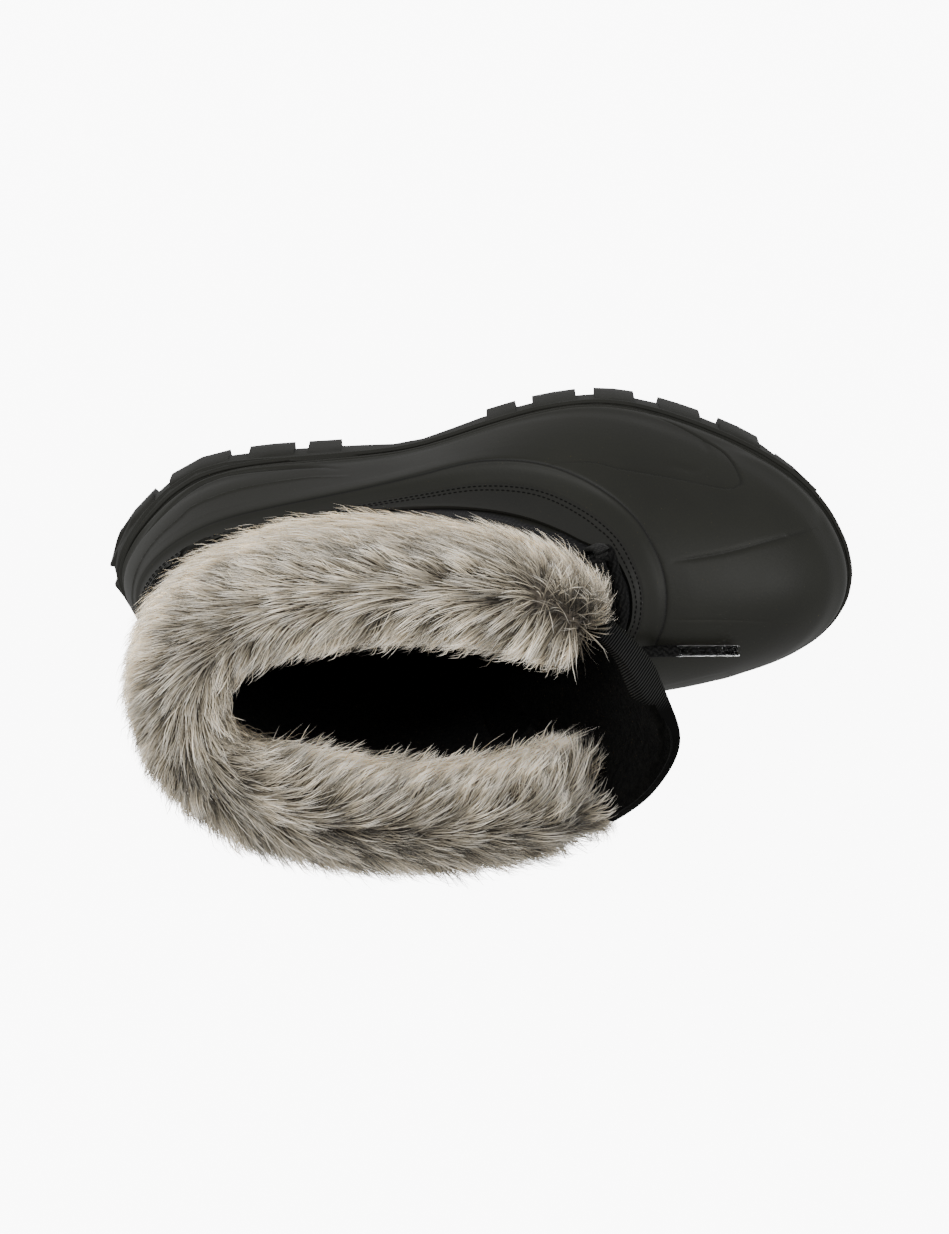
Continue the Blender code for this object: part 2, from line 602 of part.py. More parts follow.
def make_loop(name, height, lateral, finish):
    """A strap of webbing bent into a D that stands on the facing, open up and down for the lace."""
    spot, out, up, side = loop_frame(height, lateral)
    angles = np.linspace(0, math.pi, 7)
    sizes = [
        (LOOP_WIDTH / 2, LOOP_RISE, 0.0),
        (LOOP_WIDTH / 2 - LOOP_THICKNESS, LOOP_RISE - LOOP_THICKNESS, LOOP_THICKNESS),
    ]
    bm = bmesh.new()
    rings = []
    for half, rise, floor in sizes:
        profile = [(half * math.cos(a), max(floor, rise * math.sin(a) ** 0.7)) for a in angles]
        rings.append(
            [
                add_row(bm, [spot + side * c + out * n + up * w for c, n in profile])
                for w in (-LOOP_WEB / 2, LOOP_WEB / 2)
            ]
        )
    (outer_low, outer_high), (inner_low, inner_high) = rings
    skin(bm, [outer_low, outer_high, inner_high, inner_low, outer_low])
    return solid(name, bm, finish)


def tube(points, radius, sides=6):
    """A closed round tube along a smooth path."""
    points = np.asarray(points, float)
    ahead = np.gradient(points, axis=0)
    ahead /= np.linalg.norm(ahead, axis=1)[:, None]
    across = np.cross(ahead[0], (0.31, 0.2, 0.93))
    bm = bmesh.new()
    rows = []
    for point, direction in zip(points, ahead):
        across = across - direction * np.dot(across, direction)
        across /= np.linalg.norm(across)
        third = np.cross(direction, across)
        angles = np.arange(sides) * 2 * math.pi / sides
        rows.append(
            add_row(bm, [point + radius * (across * math.cos(a) + third * math.sin(a)) for a in angles])
        )
    skin(bm, rows)
    bm.faces.new(rows[0])
    bm.faces.new(rows[-1])
    return bm


def smooth_path(points, steps=2):
    """A smooth route through hand-set points, with this many steps from each to the next."""
    points = np.asarray(points, float)
    knots = np.concatenate([[0], np.cumsum(np.linalg.norm(np.diff(points, axis=0), axis=1))])
    last = len(points) - 1
    return spline(knots, points)(np.interp(np.linspace(0, last, last * steps + 1), np.arange(last + 1), knots))


def lace_hole(index, lateral, climb=0.0):
    """A point on the lace's way through a loop, climb millimetres above the loop's middle."""
    spot, out, up, _ = loop_frame(LOOP_HEIGHTS[index], lateral)
    return spot + out * (LOOP_THICKNESS + LACE_LIFT) + up * climb


def lace_strand(first_lateral, crossing_lift):
    """A strand's route, up through a loop on one side and over the tongue to the next on the other."""
    route = []
    for index in range(len(LOOP_HEIGHTS)):
        lateral = first_lateral == (index % 2 == 0)
        if index:
            below, above = LOOP_HEIGHTS[index - 1 : index + 1]
            route.append(facing_point(below + 0.42 * (above - below), 1.0, not lateral, EDGE_LIFT))
            route.append(surface(FRONT, (below + above) / 2, crossing_lift)[0])
            route.append(facing_point(below + 0.58 * (above - below), 1.0, lateral, EDGE_LIFT))
        route += [lace_hole(index, lateral, climb) for climb in (-LACE_REACH, LACE_REACH)]
    return smooth_path(route)


def make_lace(finish):
    """The lace through all eight loops: two strands and the bar below them, joined where they meet."""
    lace = solid("lace", tube(lace_strand(True, -0.8), LACE_RADIUS), finish)
    fuse(lace, solid("lace_second_strand", tube(lace_strand(False, 2.0), LACE_RADIUS), finish, hidden=True))
    left, right = lace_hole(0, True, 0.9 - LACE_REACH), lace_hole(0, False, 0.9 - LACE_REACH)
    left_low, right_low = lace_hole(0, True, -LACE_REACH - 2), lace_hole(0, False, -LACE_REACH - 2)
    middle = surface(FRONT, LOOP_HEIGHTS[0] - 5, EDGE_LIFT + 0.6)[0]
    bar = smooth_path([left, left_low, middle, right_low, right], 3)
    fuse(lace, solid("lace_bar", tube(bar, LACE_RADIUS), finish, hidden=True))
    return lace


# ---------------------------------------------------------------- tongue and its binding

TONGUE_DEPTH = 9.0  # the tongue's face lies this far inside the form, behind the facings
TONGUE_THICKNESS = 5.0
TONGUE_ROOT = [(13, 16), (28, 22), (48, 25), (70, 24), (92, 20)]  # height up the wall, half width
# The free top: z and x of the middle, its y, half width, how far the sides sweep back and how far they drop.
TONGUE_TOP_COLUMNS = ("z", "x", "y", "half", "back", "drop")
TONGUE_TOP = {
    "at the cuff": (199, 174.5, -0.5, 20, 4, 1.0),
    "between the lobes": (220, 189, -1.5, 25, 4, 3.0),
    "falling forward": (240, 202, -4, 31, 11, 8.0),
    "top edge": (256, 213, -5.5, 34.5, 20.5, 16.0),
}
TONGUE_COLUMNS = 13
BINDING_WIDTH = 10.0
BINDING_THICKNESS = 1.2
BINDING_GAP = 0.6


def tongue_rows():
    """Control rows of the tongue's outer face, from its root under the vamp to its top edge."""
    across = np.linspace(1, -1, TONGUE_COLUMNS)
    rows = []
    for height, half in TONGUE_ROOT:
        turns = [turn_at(height, abs(half * s), lateral=s > 0) if s else FRONT for s in across]
        rows.append(surface(np.array(turns), height, -TONGUE_DEPTH))
    for row in TONGUE_TOP.values():
        s = dict(zip(TONGUE_TOP_COLUMNS, row))
        rows.append(
            stacked(
                s["x"] - s["back"] * np.abs(across) ** 2.2,
                s["y"] + s["half"] * across,
                s["z"] - s["drop"] * np.abs(across) ** 2.5,
            )
        )
    return np.array(rows)


def tongue_faces():
    """The tongue's face as a function of how far up it (in mm), with that reach, and the same for its normal."""
    rows = tongue_rows()
    middle = rows[:, TONGUE_COLUMNS // 2]
    knots = np.concatenate([[0], np.cumsum(np.linalg.norm(np.diff(middle, axis=0), axis=1))])
    face = spline(knots, rows)

    def normals(up):
        climb = (face(min(up + 2, knots[-1])) - face(max(up - 2, 0)))[0]
        normal = np.cross(climb, np.gradient(face(up)[0], axis=0))
        return normal / np.linalg.norm(normal, axis=1)[:, None]

    return face, normals, knots[-1]


def make_tongue(finish):
    face, normals, top = tongue_faces()
    ups = np.concatenate([np.linspace(0, top - BINDING_WIDTH, 11), [top - BINDING_WIDTH / 2, top]])
    front, back = [], []
    bm = bmesh.new()
    for up in ups:
        trim = 0.8 if up == top else 0.0
        here, out = face(up)[0], normals(up)
        front.append(add_row(bm, here - out * trim))
        back.append(add_row(bm, here - out * (TONGUE_THICKNESS - trim)))
    rows = [f + b[::-1] for f, b in zip(front, back)]
    skin(bm, rows)
    bm.faces.new(rows[0])
    bm.faces.new(rows[-1])
    bmesh.ops.triangulate(bm, faces=bm.faces, quad_method="SHORT_EDGE")
    return solid("tongue", bm, finish)


def make_binding(finish):
    """Tape folded over the tongue's top edge, from one side to the other."""
    face, normals, top = tongue_faces()
    inner, outer = BINDING_GAP, BINDING_GAP + BINDING_THICKNESS
    behind = TONGUE_THICKNESS
    low, half = top - BINDING_WIDTH, top - BINDING_WIDTH / 2
    rise = (face(top) - face(top - 2))[0] / 2
    profile = [
        (low, inner, 0), (low, outer, 0), (half, outer, 0), (top, outer, 0), (top, inner - 0.4, outer),
        (top, -behind - inner + 0.4, outer), (top, -behind - outer, 0), (half, -behind - outer, 0),
        (low, -behind - outer, 0), (low, -behind - inner, 0), (half, -behind - inner, 0),
        (top, -behind - inner, inner), (top, inner, inner), (half, inner, 0),
    ]  # fmt: skip
    bm = bmesh.new()
    rows = [add_row(bm, face(up)[0] + normals(up) * out + rise * lift) for up, out, lift in profile]
    skin(bm, rows + rows[:1], closed_rows=False)
    bm.faces.new([row[0] for row in rows])
    bm.faces.new([row[-1] for row in rows])
    bmesh.ops.triangulate(bm, faces=bm.faces, quad_method="SHORT_EDGE")
    return solid("tongue_binding", bm, finish)


# ---------------------------------------------------------------- fur cuff

# Round the cuff's section: height up the wall, how far out from the form, and whether locks of fur stand there.
CUFF_SECTION = [
    (119, -3.0, 0), (116, 5, 0.5), (121, 13, 1), (132, 18, 1), (146, 19.5, 1), (160, 18, 1), (173, 13, 1),
    (182, 5, 1), (186, -5, 1), (184, -15, 1), (176, -22, 1), (163, -24, 1), (153, -18, 0.5), (150, -7.9, 0),
    (171.0, -7.9, 0), (171.0, -3.0, 0),
]  # fmt: skip
CUFF_STEPS = 54
CUFF_ENDS = [(1.2, 1.0), (5.5, 0.84), (8.6, 0.58), (10.2, 0.3)]  # forward of the facing's edge, size there
LOCK_LENGTH = 4.5


def cuff_inner(turn):
    """The cuff's inner lip is thinner at the back and at its two front ends."""
    back = abs(math.cos(math.pi * turn / STATION_COUNT)) ** 6
    return 1 - 0.4 * back


def cuff_ring(turn, forward=0.0, size=1.0):
    points = []
    for height, out, _ in CUFF_SECTION:
        if out < -8:
            out = -8 + (out + 8) * cuff_inner(turn)
        wall = surface(turn, min(height, COLLAR_TOP), 0)[0]
        outward = surface(turn, min(height, COLLAR_TOP), 1)[0] - wall
        level = surface(turn, COLLAR_TOP, 1)[0] - surface(turn, COLLAR_TOP, 0)[0] if height > 140 else outward
        outward = level / np.linalg.norm(level)
        points.append(wall + outward * out + np.array([forward, 0, max(0.0, height - COLLAR_TOP)]))
    points = np.array(points)
    middle = points[2:12].mean(axis=0)
    return middle + (points - middle) * size


def make_cuff(finish):
    """A thick saddle of pile over the collar, with pointed locks that follow the lie of the fur."""
    rng = random.Random(7)
    lateral = turn_at(150, throat_width(150), lateral=True)
    medial = turn_at(150, throat_width(150), lateral=False) - STATION_COUNT
    turns = np.linspace(lateral, medial, CUFF_STEPS)
    rings = [cuff_ring(lateral, ahead, size) for ahead, size in reversed(CUFF_ENDS)]
    rings += [cuff_ring(turn) for turn in turns]
    rings += [cuff_ring(medial, ahead, size) for ahead, size in CUFF_ENDS]
    rings = np.array(rings)
    centres = rings[:, 2:12].mean(axis=1)
    shaped = rings.copy()
    for i in range(2, len(rings) - 2):
        for j, (_, _, fur) in enumerate(CUFF_SECTION):
            if fur and (i + j) % 2 == 0:
                away = rings[i, j] - centres[i]
                away /= np.linalg.norm(away)
                back = rings[min(i + 1, len(rings) - 1), j] - rings[i - 1, j]
                back /= np.linalg.norm(back) * (1 if i < len(rings) / 2 else -1)
                lie = away * 0.9 + back * 0.7 + np.array([0, 0, -0.25])
                shaped[i, j] += lie * LOCK_LENGTH * fur * rng.uniform(0.6, 1.25)
    bm = bmesh.new()
    rows = [add_row(bm, ring) for ring in shaped]
    skin(bm, rows)
    bm.faces.new(rows[0])
    bm.faces.new(rows[-1])
    bmesh.ops.triangulate(bm, faces=[f for f in bm.faces if len(f.verts) > 4])
    return solid("fur_cuff", bm, finish)


# ---------------------------------------------------------------- the free lace end and its aglet

# From the lace's end above the top medial loop, over and down the front of the lacing, and out along the toe.
LACE_END_ROUTE = [
    (158.6, -30.9, 172.2), (162.5, -29.0, 175.6), (168.0, -25.0, 174.0), (173.0, -20.5, 167.0),
    (177.5, -17.0, 156.0), (182.0, -15.5, 142.0), (187.0, -15.5, 127.0), (193.0, -16.0, 112.5),
    (199.5, -16.7, 100.0), (206.0, -17.2, 91.5), (212.9, -17.55, 87.6), (218.5, -18.0, 85.6),
]  # fmt: skip
AGLET_LENGTH, AGLET_RADIUS = 24.0, 2.1


def make_lace_end(lace_finish, aglet_finish):
    curve = bpy.data.curves.new("lace_end", "CURVE")
    curve.dimensions = "3D"
    curve.bevel_depth = LACE_RADIUS * MM
    curve.bevel_resolution = 2
    curve.use_fill_caps = True
    start = lace_hole(len(LOOP_HEIGHTS) - 1, False, LACE_REACH + 1.3)
    points = smooth_path([start] + LACE_END_ROUTE)
    path = curve.splines.new("POLY")
    path.points.add(len(points) - 1)
    for target, point in zip(path.points, points):
        target.co = (*(point * MM), 1)
    end = bpy.data.objects.new("lace_end", curve)
    curve.materials.append(lace_finish)
    end.parent = BOOT
    bpy.context.scene.collection.objects.link(end)
    ahead = np.subtract(LACE_END_ROUTE[-1], LACE_END_ROUTE[-2])
    ahead /= np.linalg.norm(ahead)
    start = points[-1] + ahead * GAP
    steps = [start, start + ahead * 1.0, start + ahead * (AGLET_LENGTH - 1), start + ahead * AGLET_LENGTH]
    solid("aglet", tube(steps, AGLET_RADIUS, sides=10), aglet_finish)


# ---------------------------------------------------------------- the boot

for leftover in list(bpy.data.objects):
    bpy.data.objects.remove(leftover)

BOOT = bpy.data.objects.new("boot", None)
BOOT.location = [-MM * size for size in BOOT_MIDDLE]
bpy.context.scene.collection.objects.link(BOOT)

RUBBER = material("rubber", (0.034, 0.034, 0.031), 0.45)
OUTSOLE_RUBBER = material("outsole rubber", (0.028, 0.028, 0.026), 0.6)
TEXTILE = material("textile", (0.012, 0.012, 0.013), 0.8)
WEBBING = material("webbing", (0.016, 0.016, 0.017), 0.7)
FLEECE = material("fleece", (0.006, 0.006, 0.006), 0.95)
FUR = material("fur", (0.30, 0.28, 0.24), 0.9)
LACE = material("lace cord", (0.01, 0.01, 0.01), 0.7)
CLEAR = material("clear plastic", (0.6, 0.6, 0.6), 0.15)
FOAM = material("foam", (0.05, 0.05, 0.05), 0.9)

make_outsole(OUTSOLE_RUBBER)
make_shell(RUBBER)
make_insole(FOAM)
make_upper(TEXTILE)
for side_name, is_lateral in (("lateral", True), ("medial", False)):
    make_facing("facing_" + side_name, is_lateral, WEBBING)
    for number, loop_height in enumerate(LOOP_HEIGHTS, 1):
        make_loop(f"loop_{side_name}_{number}", loop_height, is_lateral, WEBBING)
make_tongue(FLEECE)
make_binding(WEBBING)
make_cuff(FUR)
make_lace(LACE)
make_lace_end(LACE, CLEAR)
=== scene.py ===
import math

import bmesh
import bpy
import numpy as np
from mathutils import Matrix, Vector
from mathutils.bvhtree import BVHTree
from mathutils.kdtree import KDTree


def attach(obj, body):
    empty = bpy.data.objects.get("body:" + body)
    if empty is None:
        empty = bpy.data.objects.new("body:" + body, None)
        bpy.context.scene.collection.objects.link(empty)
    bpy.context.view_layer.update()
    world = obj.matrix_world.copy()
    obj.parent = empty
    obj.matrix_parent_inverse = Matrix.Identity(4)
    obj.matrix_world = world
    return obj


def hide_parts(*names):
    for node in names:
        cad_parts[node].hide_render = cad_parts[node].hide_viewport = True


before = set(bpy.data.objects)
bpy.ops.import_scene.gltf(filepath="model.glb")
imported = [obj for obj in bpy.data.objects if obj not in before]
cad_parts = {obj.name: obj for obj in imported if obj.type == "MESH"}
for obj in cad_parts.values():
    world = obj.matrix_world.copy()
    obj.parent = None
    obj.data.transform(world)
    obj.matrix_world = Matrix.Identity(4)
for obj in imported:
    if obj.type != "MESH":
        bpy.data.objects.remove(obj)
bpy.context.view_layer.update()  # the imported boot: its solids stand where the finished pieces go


# ---------------------------------------------------------------- studio: camera, light and floor
# The boot is seen from almost straight above and a little from its outer side. It stands on a plain pale
# floor in broad soft light.

view_tilt, view_distance = math.radians(13), 1.7
view_aim = Vector((-0.0009, -0.0271, 0.0))
towards_lens = Vector((0, math.sin(view_tilt), math.cos(view_tilt)))
view_up = Vector((0, math.cos(view_tilt), -math.sin(view_tilt)))
camera = bpy.data.objects.new("camera", bpy.data.cameras.new("camera"))
camera.data.lens = 126.3
turned = Matrix((Vector((1, 0, 0)), view_up, towards_lens)).transposed().to_4x4()
camera.matrix_world = Matrix.Translation(view_aim + towards_lens * view_distance) @ turned
bpy.context.scene.collection.objects.link(camera)
bpy.context.scene.camera = camera

sky = bpy.data.worlds.new("studio")
sky.use_nodes = True
sky.node_tree.nodes["Background"].inputs["Color"].default_value = (1.0, 1.0, 1.0, 1)
sky.node_tree.nodes["Background"].inputs["Strength"].default_value = 0.6
bpy.context.scene.world = sky


def soft_box(name, place, aim, size, power):
    lamp = bpy.data.lights.new(name, "AREA")
    lamp.size, lamp.energy = size, power
    box = bpy.data.objects.new(name, lamp)
    box.location = place
    box.rotation_mode = "QUATERNION"
    box.rotation_quaternion = (Vector(aim) - Vector(place)).to_track_quat("-Z", "Y")
    bpy.context.scene.collection.objects.link(box)


def new_material(name, colour, roughness, **sockets):
    made = bpy.data.materials.new(name)
    made.use_nodes = True
    shader = made.node_tree.nodes["Principled BSDF"]
    shader.inputs["Base Color"].default_value = (*colour, 1)
    shader.inputs["Roughness"].default_value = roughness
    for socket, value in sockets.items():
        shader.inputs[socket.replace("_", " ")].default_value = value
    return made


soft_box("key light", (-0.9, 0.9, 1.3), (0, 0, 0.1), 0.9, 13)
soft_box("fill light", (1.2, 0.2, 1.2), (0, 0, 0.1), 0.9, 7)

floor_form = bmesh.new()
bmesh.ops.create_grid(floor_form, x_segments=1, y_segments=1, size=4.0)
bmesh.ops.translate(floor_form, verts=floor_form.verts, vec=(0, 0, -0.0003))
floor_mesh = bpy.data.meshes.new("floor")
floor_form.to_mesh(floor_mesh)
floor_form.free()
floor = bpy.data.objects.new("floor", floor_mesh)
bpy.context.scene.collection.objects.link(floor)
glowing = {"Emission_Color": (1, 1, 1, 1), "Emission_Strength": 9.0}
floor_mesh.materials.append(new_material("pale floor", (0.93, 0.93, 0.93), 0.9, **glowing))
floor.visible_diffuse = floor.visible_glossy = False


# ---------------------------------------------------------------- the free lace end, with its clear aglet
# A round braided polyester cord, 4.6 mm thick. It leaves the top inner loop, drops down the front of the
# lacing and ends on the toe in a clear plastic aglet shrunk round the cord.

MM = 0.001
BOOT_MIDDLE = np.array((144.3, 2.4, 0.0))  # sizes below are in mm from the heel's back and centre line
LACE_RADIUS = 2.3
LACE_END_ROUTE = [
    (158.2, -29.1, 163.8), (158.6, -30.9, 172.2), (162.5, -29.0, 175.6), (168.0, -25.0, 174.0),
    (173.0, -20.5, 167.0), (177.5, -17.0, 156.0), (182.0, -15.5, 142.0), (187.0, -15.5, 127.0),
    (193.0, -16.0, 112.5), (199.5, -16.7, 100.0), (206.0, -17.2, 91.5), (212.9, -17.55, 87.6),
    (218.5, -18.0, 85.6),
]  # fmt: skip
AGLET_SIZES = [(0.0, 1.9), (0.3, 2.15), (1.6, 2.15), (12, 2.04), (23.6, 2.1), (25.0, 2.05), (25.4, 1.8)]
AGLET_GAP, AGLET_WALL, AGLET_SIDES = 0.3, 0.12, 28
AGLET_CORE, AGLET_CORE_STOPS = 1.86, (-1.2, 8, 16, 24.2)  # the cord inside it, pressed thinner


def on_boot(points):
    """Points given in mm from the heel, as places in the scene in metres."""
    return (np.asarray(points, float) - BOOT_MIDDLE) * MM


def unit(vectors):
    """Vectors, each brought to a length of one."""
    return vectors / np.maximum(np.linalg.norm(vectors, axis=-1, keepdims=True), 1e-9)


def lengths_along(line):
    """How far along a line each of its points lies."""
    return np.concatenate([[0], np.cumsum(np.linalg.norm(np.diff(line, axis=0), axis=1))])


def smooth_line(points, step, closed=False):
    """A smooth line through given points, with a point at about every step of its length."""
    points = np.asarray(points, float)
    count = len(points)
    if closed:
        run = points[np.arange(-1, count + 2) % count]
    else:
        run = np.vstack([2 * points[0] - points[1], points, 2 * points[-1] - points[-2]])
    fine = []
    for a, b, c, d in zip(run, run[1:], run[2:], run[3:]):
        t = np.linspace(0, 1, 24, endpoint=False)[:, None]
        bend = (2 * a - 5 * b + 4 * c - d) * t**2 + (3 * b - a - 3 * c + d) * t**3
        fine.append(0.5 * (2 * b + (c - a) * t + bend))
    fine = np.vstack(fine + [run[-2:-1]])
    along = lengths_along(fine)
    places = np.linspace(0, along[-1], max(2, round(along[-1] / step)) + 1)
    return np.stack([np.interp(places, along, fine[:, i]) for i in range(fine.shape[1])], axis=1)


def laid_sheet(rows, size=(1, 1), wrap=False, raised=None):
    """A sheet laid through rows of points, with a UV map in size's own units; wrap makes it a closed tube."""
    rows = np.asarray(rows, float)
    if wrap:
        rows = np.concatenate([rows, rows[:, :1]], axis=1)
    down, across = rows.shape[:2]
    bm = bmesh.new()
    uv = bm.loops.layers.uv.new("UVMap")
    height = bm.verts.layers.float.new("raised")
    bmesh.ops.create_grid(bm, x_segments=across - 1, y_segments=down - 1, size=0.5, calc_uvs=True)
    for vert, point in zip(bm.verts, rows.reshape(-1, 3)):
        vert.co = point
    for face in bm.faces:
        for loop in face.loops:
            loop[uv].uv = (loop[uv].uv.x * size[0], loop[uv].uv.y * size[1])
    if raised is not None:
        raised = np.concatenate([raised, raised[:, :1]], axis=1) if wrap else raised
        for vert, up in zip(bm.verts, raised.ravel()):
            vert[height] = up
    if wrap:
        bmesh.ops.remove_doubles(bm, verts=bm.verts, dist=1e-7)
        bmesh.ops.holes_fill(bm, edges=bm.edges)
    bmesh.ops.recalc_face_normals(bm, faces=bm.faces)
    return bm


def braided_tube(line, radius, sides=24, carriers=6, pitch=0.0042, relief=0.0004):
    """A round cord along a line, closed at its ends and lifted where one plait passes over another."""
    ahead, along = unit(np.gradient(line, axis=0)), lengths_along(line)
    turns = np.arange(sides) / sides * 2 * math.pi
    across = np.cross(ahead[0], (0.31, 0.2, 0.93))
    rings, raised = [], []
    for point, way, run in zip(line, ahead, along):
        across = unit(across - way * np.dot(across, way))
        laid = math.pi * run / pitch
        one, other = carriers / 2 * turns + laid, carriers / 2 * turns - laid
        over = (np.floor(one / math.pi) + np.floor(other / math.pi)) % 2 < 1
        raised.append(np.where(over, np.abs(np.sin(one)), np.abs(np.sin(other))) ** 0.6)
        out = radius - relief + relief * raised[-1]
        aside = np.outer(np.cos(turns) * out, across)
        above = np.outer(np.sin(turns) * out, np.cross(way, across))
        rings.append(point + aside + above)
    return laid_sheet(rings, (2 * math.pi * radius, along[-1]), True, np.array(raised))


def add_node(made, kind, inputs=None, **settings):
    """A shader node with its settings and inputs; an input that is a socket is linked."""
    fresh = made.node_tree.nodes.new("ShaderNode" + kind)
    for name, value in settings.items():
        setattr(fresh, name, value)
    for name, value in (inputs or {}).items():
        if isinstance(value, bpy.types.NodeSocket):
            made.node_tree.links.new(value, fresh.inputs[name])
        else:
            fresh.inputs[name].default_value = value
    return fresh


def feed(made, socket, value):
    """Links a value into the material's own shader."""
    made.node_tree.links.new(value, made.node_tree.nodes["Principled BSDF"].inputs[socket])


def laid_place(made, scale=(1, 1, 1), turn=0.0, of="Object"):
    """Where on the piece the shader is, scaled: of its form (Object) or of its own UV map (UV)."""
    place = add_node(made, "TexCoord").outputs[of]
    mapped = add_node(made, "Mapping", {"Vector": place, "Scale": scale, "Rotation": (0, 0, turn)})
    return mapped.outputs["Vector"]


def noise(made, place, scale, detail=3.0, roughness=0.5):
    sockets = {"Vector": place, "Scale": scale, "Detail": detail, "Roughness": roughness}
    return add_node(made, "TexNoise", sockets).outputs["Fac"]


def calculate(made, operation, one, other=0.0):
    return add_node(made, "Math", {0: one, 1: other}, operation=operation).outputs["Value"]


def blend_colours(made, amount, low, high, start=0.3, end=0.7):
    ramp = add_node(made, "ValToRGB", {"Fac": amount})
    ramp.color_ramp.elements[0].position, ramp.color_ramp.elements[1].position = start, end
    ramp.color_ramp.elements[0].color = (*low, 1)
    ramp.color_ramp.elements[1].color = (*high, 1)
    return ramp.outputs["Color"]


def tint(made, *blend):
    """Colours a material from one tone to another, as blend_colours takes them."""
    feed(made, "Base Color", blend_colours(made, *blend))


def raise_surface(made, height, distance, strength=1.0):
    sockets = {"Height": height, "Distance": distance, "Strength": strength}
    feed(made, "Normal", add_node(made, "Bump", sockets).outputs["Normal"])


def add_piece(name, form, finishes, slot, *nodes, levels=0, sharp=32, crease=0.9, rounding=0.0):
    """Makes a finished object of a bmesh or mesh, rides it on the boot and lets it stand for its solids."""
    mesh = form
    if isinstance(form, bmesh.types.BMesh):
        if levels:
            hard = form.edges.layers.float.get("crease_edge") or form.edges.layers.float.new("crease_edge")
            for edge in form.edges:
                if len(edge.link_faces) == 2 and edge.calc_face_angle() > math.radians(sharp):
                    edge[hard] = max(edge[hard], crease)
        mesh = bpy.data.meshes.new(name)
        form.to_mesh(mesh)
        form.free()
    obj = bpy.data.objects.new(name, mesh)
    bpy.context.scene.collection.objects.link(obj)
    for finish in finishes if isinstance(finishes, list) else [finishes]:
        mesh.materials.append(finish)
    if rounding:
        rounded = obj.modifiers.new("soft edges", "BEVEL")
        rounded.width, rounded.segments, rounded.angle_limit = rounding, 2, math.radians(sharp)
        rounded.limit_method = "ANGLE"
    if levels:
        finer = obj.modifiers.new("finer", "SUBSURF")
        finer.levels = finer.render_levels = levels
    if levels or rounding:
        made = bpy.data.meshes.new_from_object(obj.evaluated_get(bpy.context.evaluated_depsgraph_get()))
        obj.modifiers.clear()
        obj.data = made
        made.name = name
    obj.data.shade_smooth()
    obj.data.set_sharp_from_angle(angle=math.radians(50))
    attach(obj, "root")
    if nodes:
        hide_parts(*nodes)
    return obj


lace_black = new_material("black braided polyester", (0.010, 0.010, 0.010), 0.75, Specular_IOR_Level=0.14)
plait = noise(lace_black, laid_place(lace_black, (3000, 900, 1), of="UV"), 1.0)
# The colour goes darker where the plaits dip under one another: painted shade between the plaits.
raised = add_node(lace_black, "Attribute", attribute_name="raised").outputs["Fac"]
plait = calculate(lace_black, "MULTIPLY", plait, raised)
tint(lace_black, plait, (0.0006, 0.0006, 0.0006), (0.022, 0.022, 0.021), 0.25, 0.7)
raise_surface(lace_black, plait, 0.00012, 0.8)

lace_line = smooth_line(on_boot(LACE_END_ROUTE), 0.0005)
lace_braid = braided_tube(lace_line, LACE_RADIUS * MM)
lace_end = add_piece("lace_end_braid", lace_braid, lace_black, "lace_cord", "lace_end")

aglet_way = unit(np.subtract(LACE_END_ROUTE[-1], LACE_END_ROUTE[-2]))
aglet_start = on_boot(LACE_END_ROUTE[-1]) + aglet_way * AGLET_GAP * MM
aglet_side = unit(np.cross(aglet_way, (0, 0, 1)))
turns = np.arange(AGLET_SIDES) / AGLET_SIDES * 2 * math.pi
around = np.outer(np.cos(turns), aglet_side) + np.outer(np.sin(turns), np.cross(aglet_side, aglet_way))
tube = AGLET_SIZES + [(far, size - AGLET_WALL) for far, size in AGLET_SIZES[::-1]] + AGLET_SIZES[:1]
rings = [aglet_start + aglet_way * far * MM + around * size * MM for far, size in tube]
sleeve = laid_sheet(rings, wrap=True)
clear_plastic = new_material(
    "clear shrunk plastic", (0.90, 0.91, 0.91), 0.05, IOR=1.06, Transmission_Weight=1.0,
    Sheen_Weight=1.0, Sheen_Roughness=0.25,
)  # fmt: skip
aglet = add_piece("aglet_sleeve", sleeve, clear_plastic, "clear_plastic", "aglet")
core_line = smooth_line([aglet_start + aglet_way * far * MM for far in AGLET_CORE_STOPS], 0.0005)
core_braid = braided_tube(core_line, AGLET_CORE * MM, sides=20, carriers=4, pitch=0.003, relief=0.00006)
aglet_core = add_piece("aglet_core", core_braid, lace_black, "lace_cord")


# ---------------------------------------------------------------- outsole
# One piece of hard-wearing moulded rubber, with deep lugs that wrap up its sides, an arch and a welt bead
# along its top edge. The shell stands on it and is cemented to it.

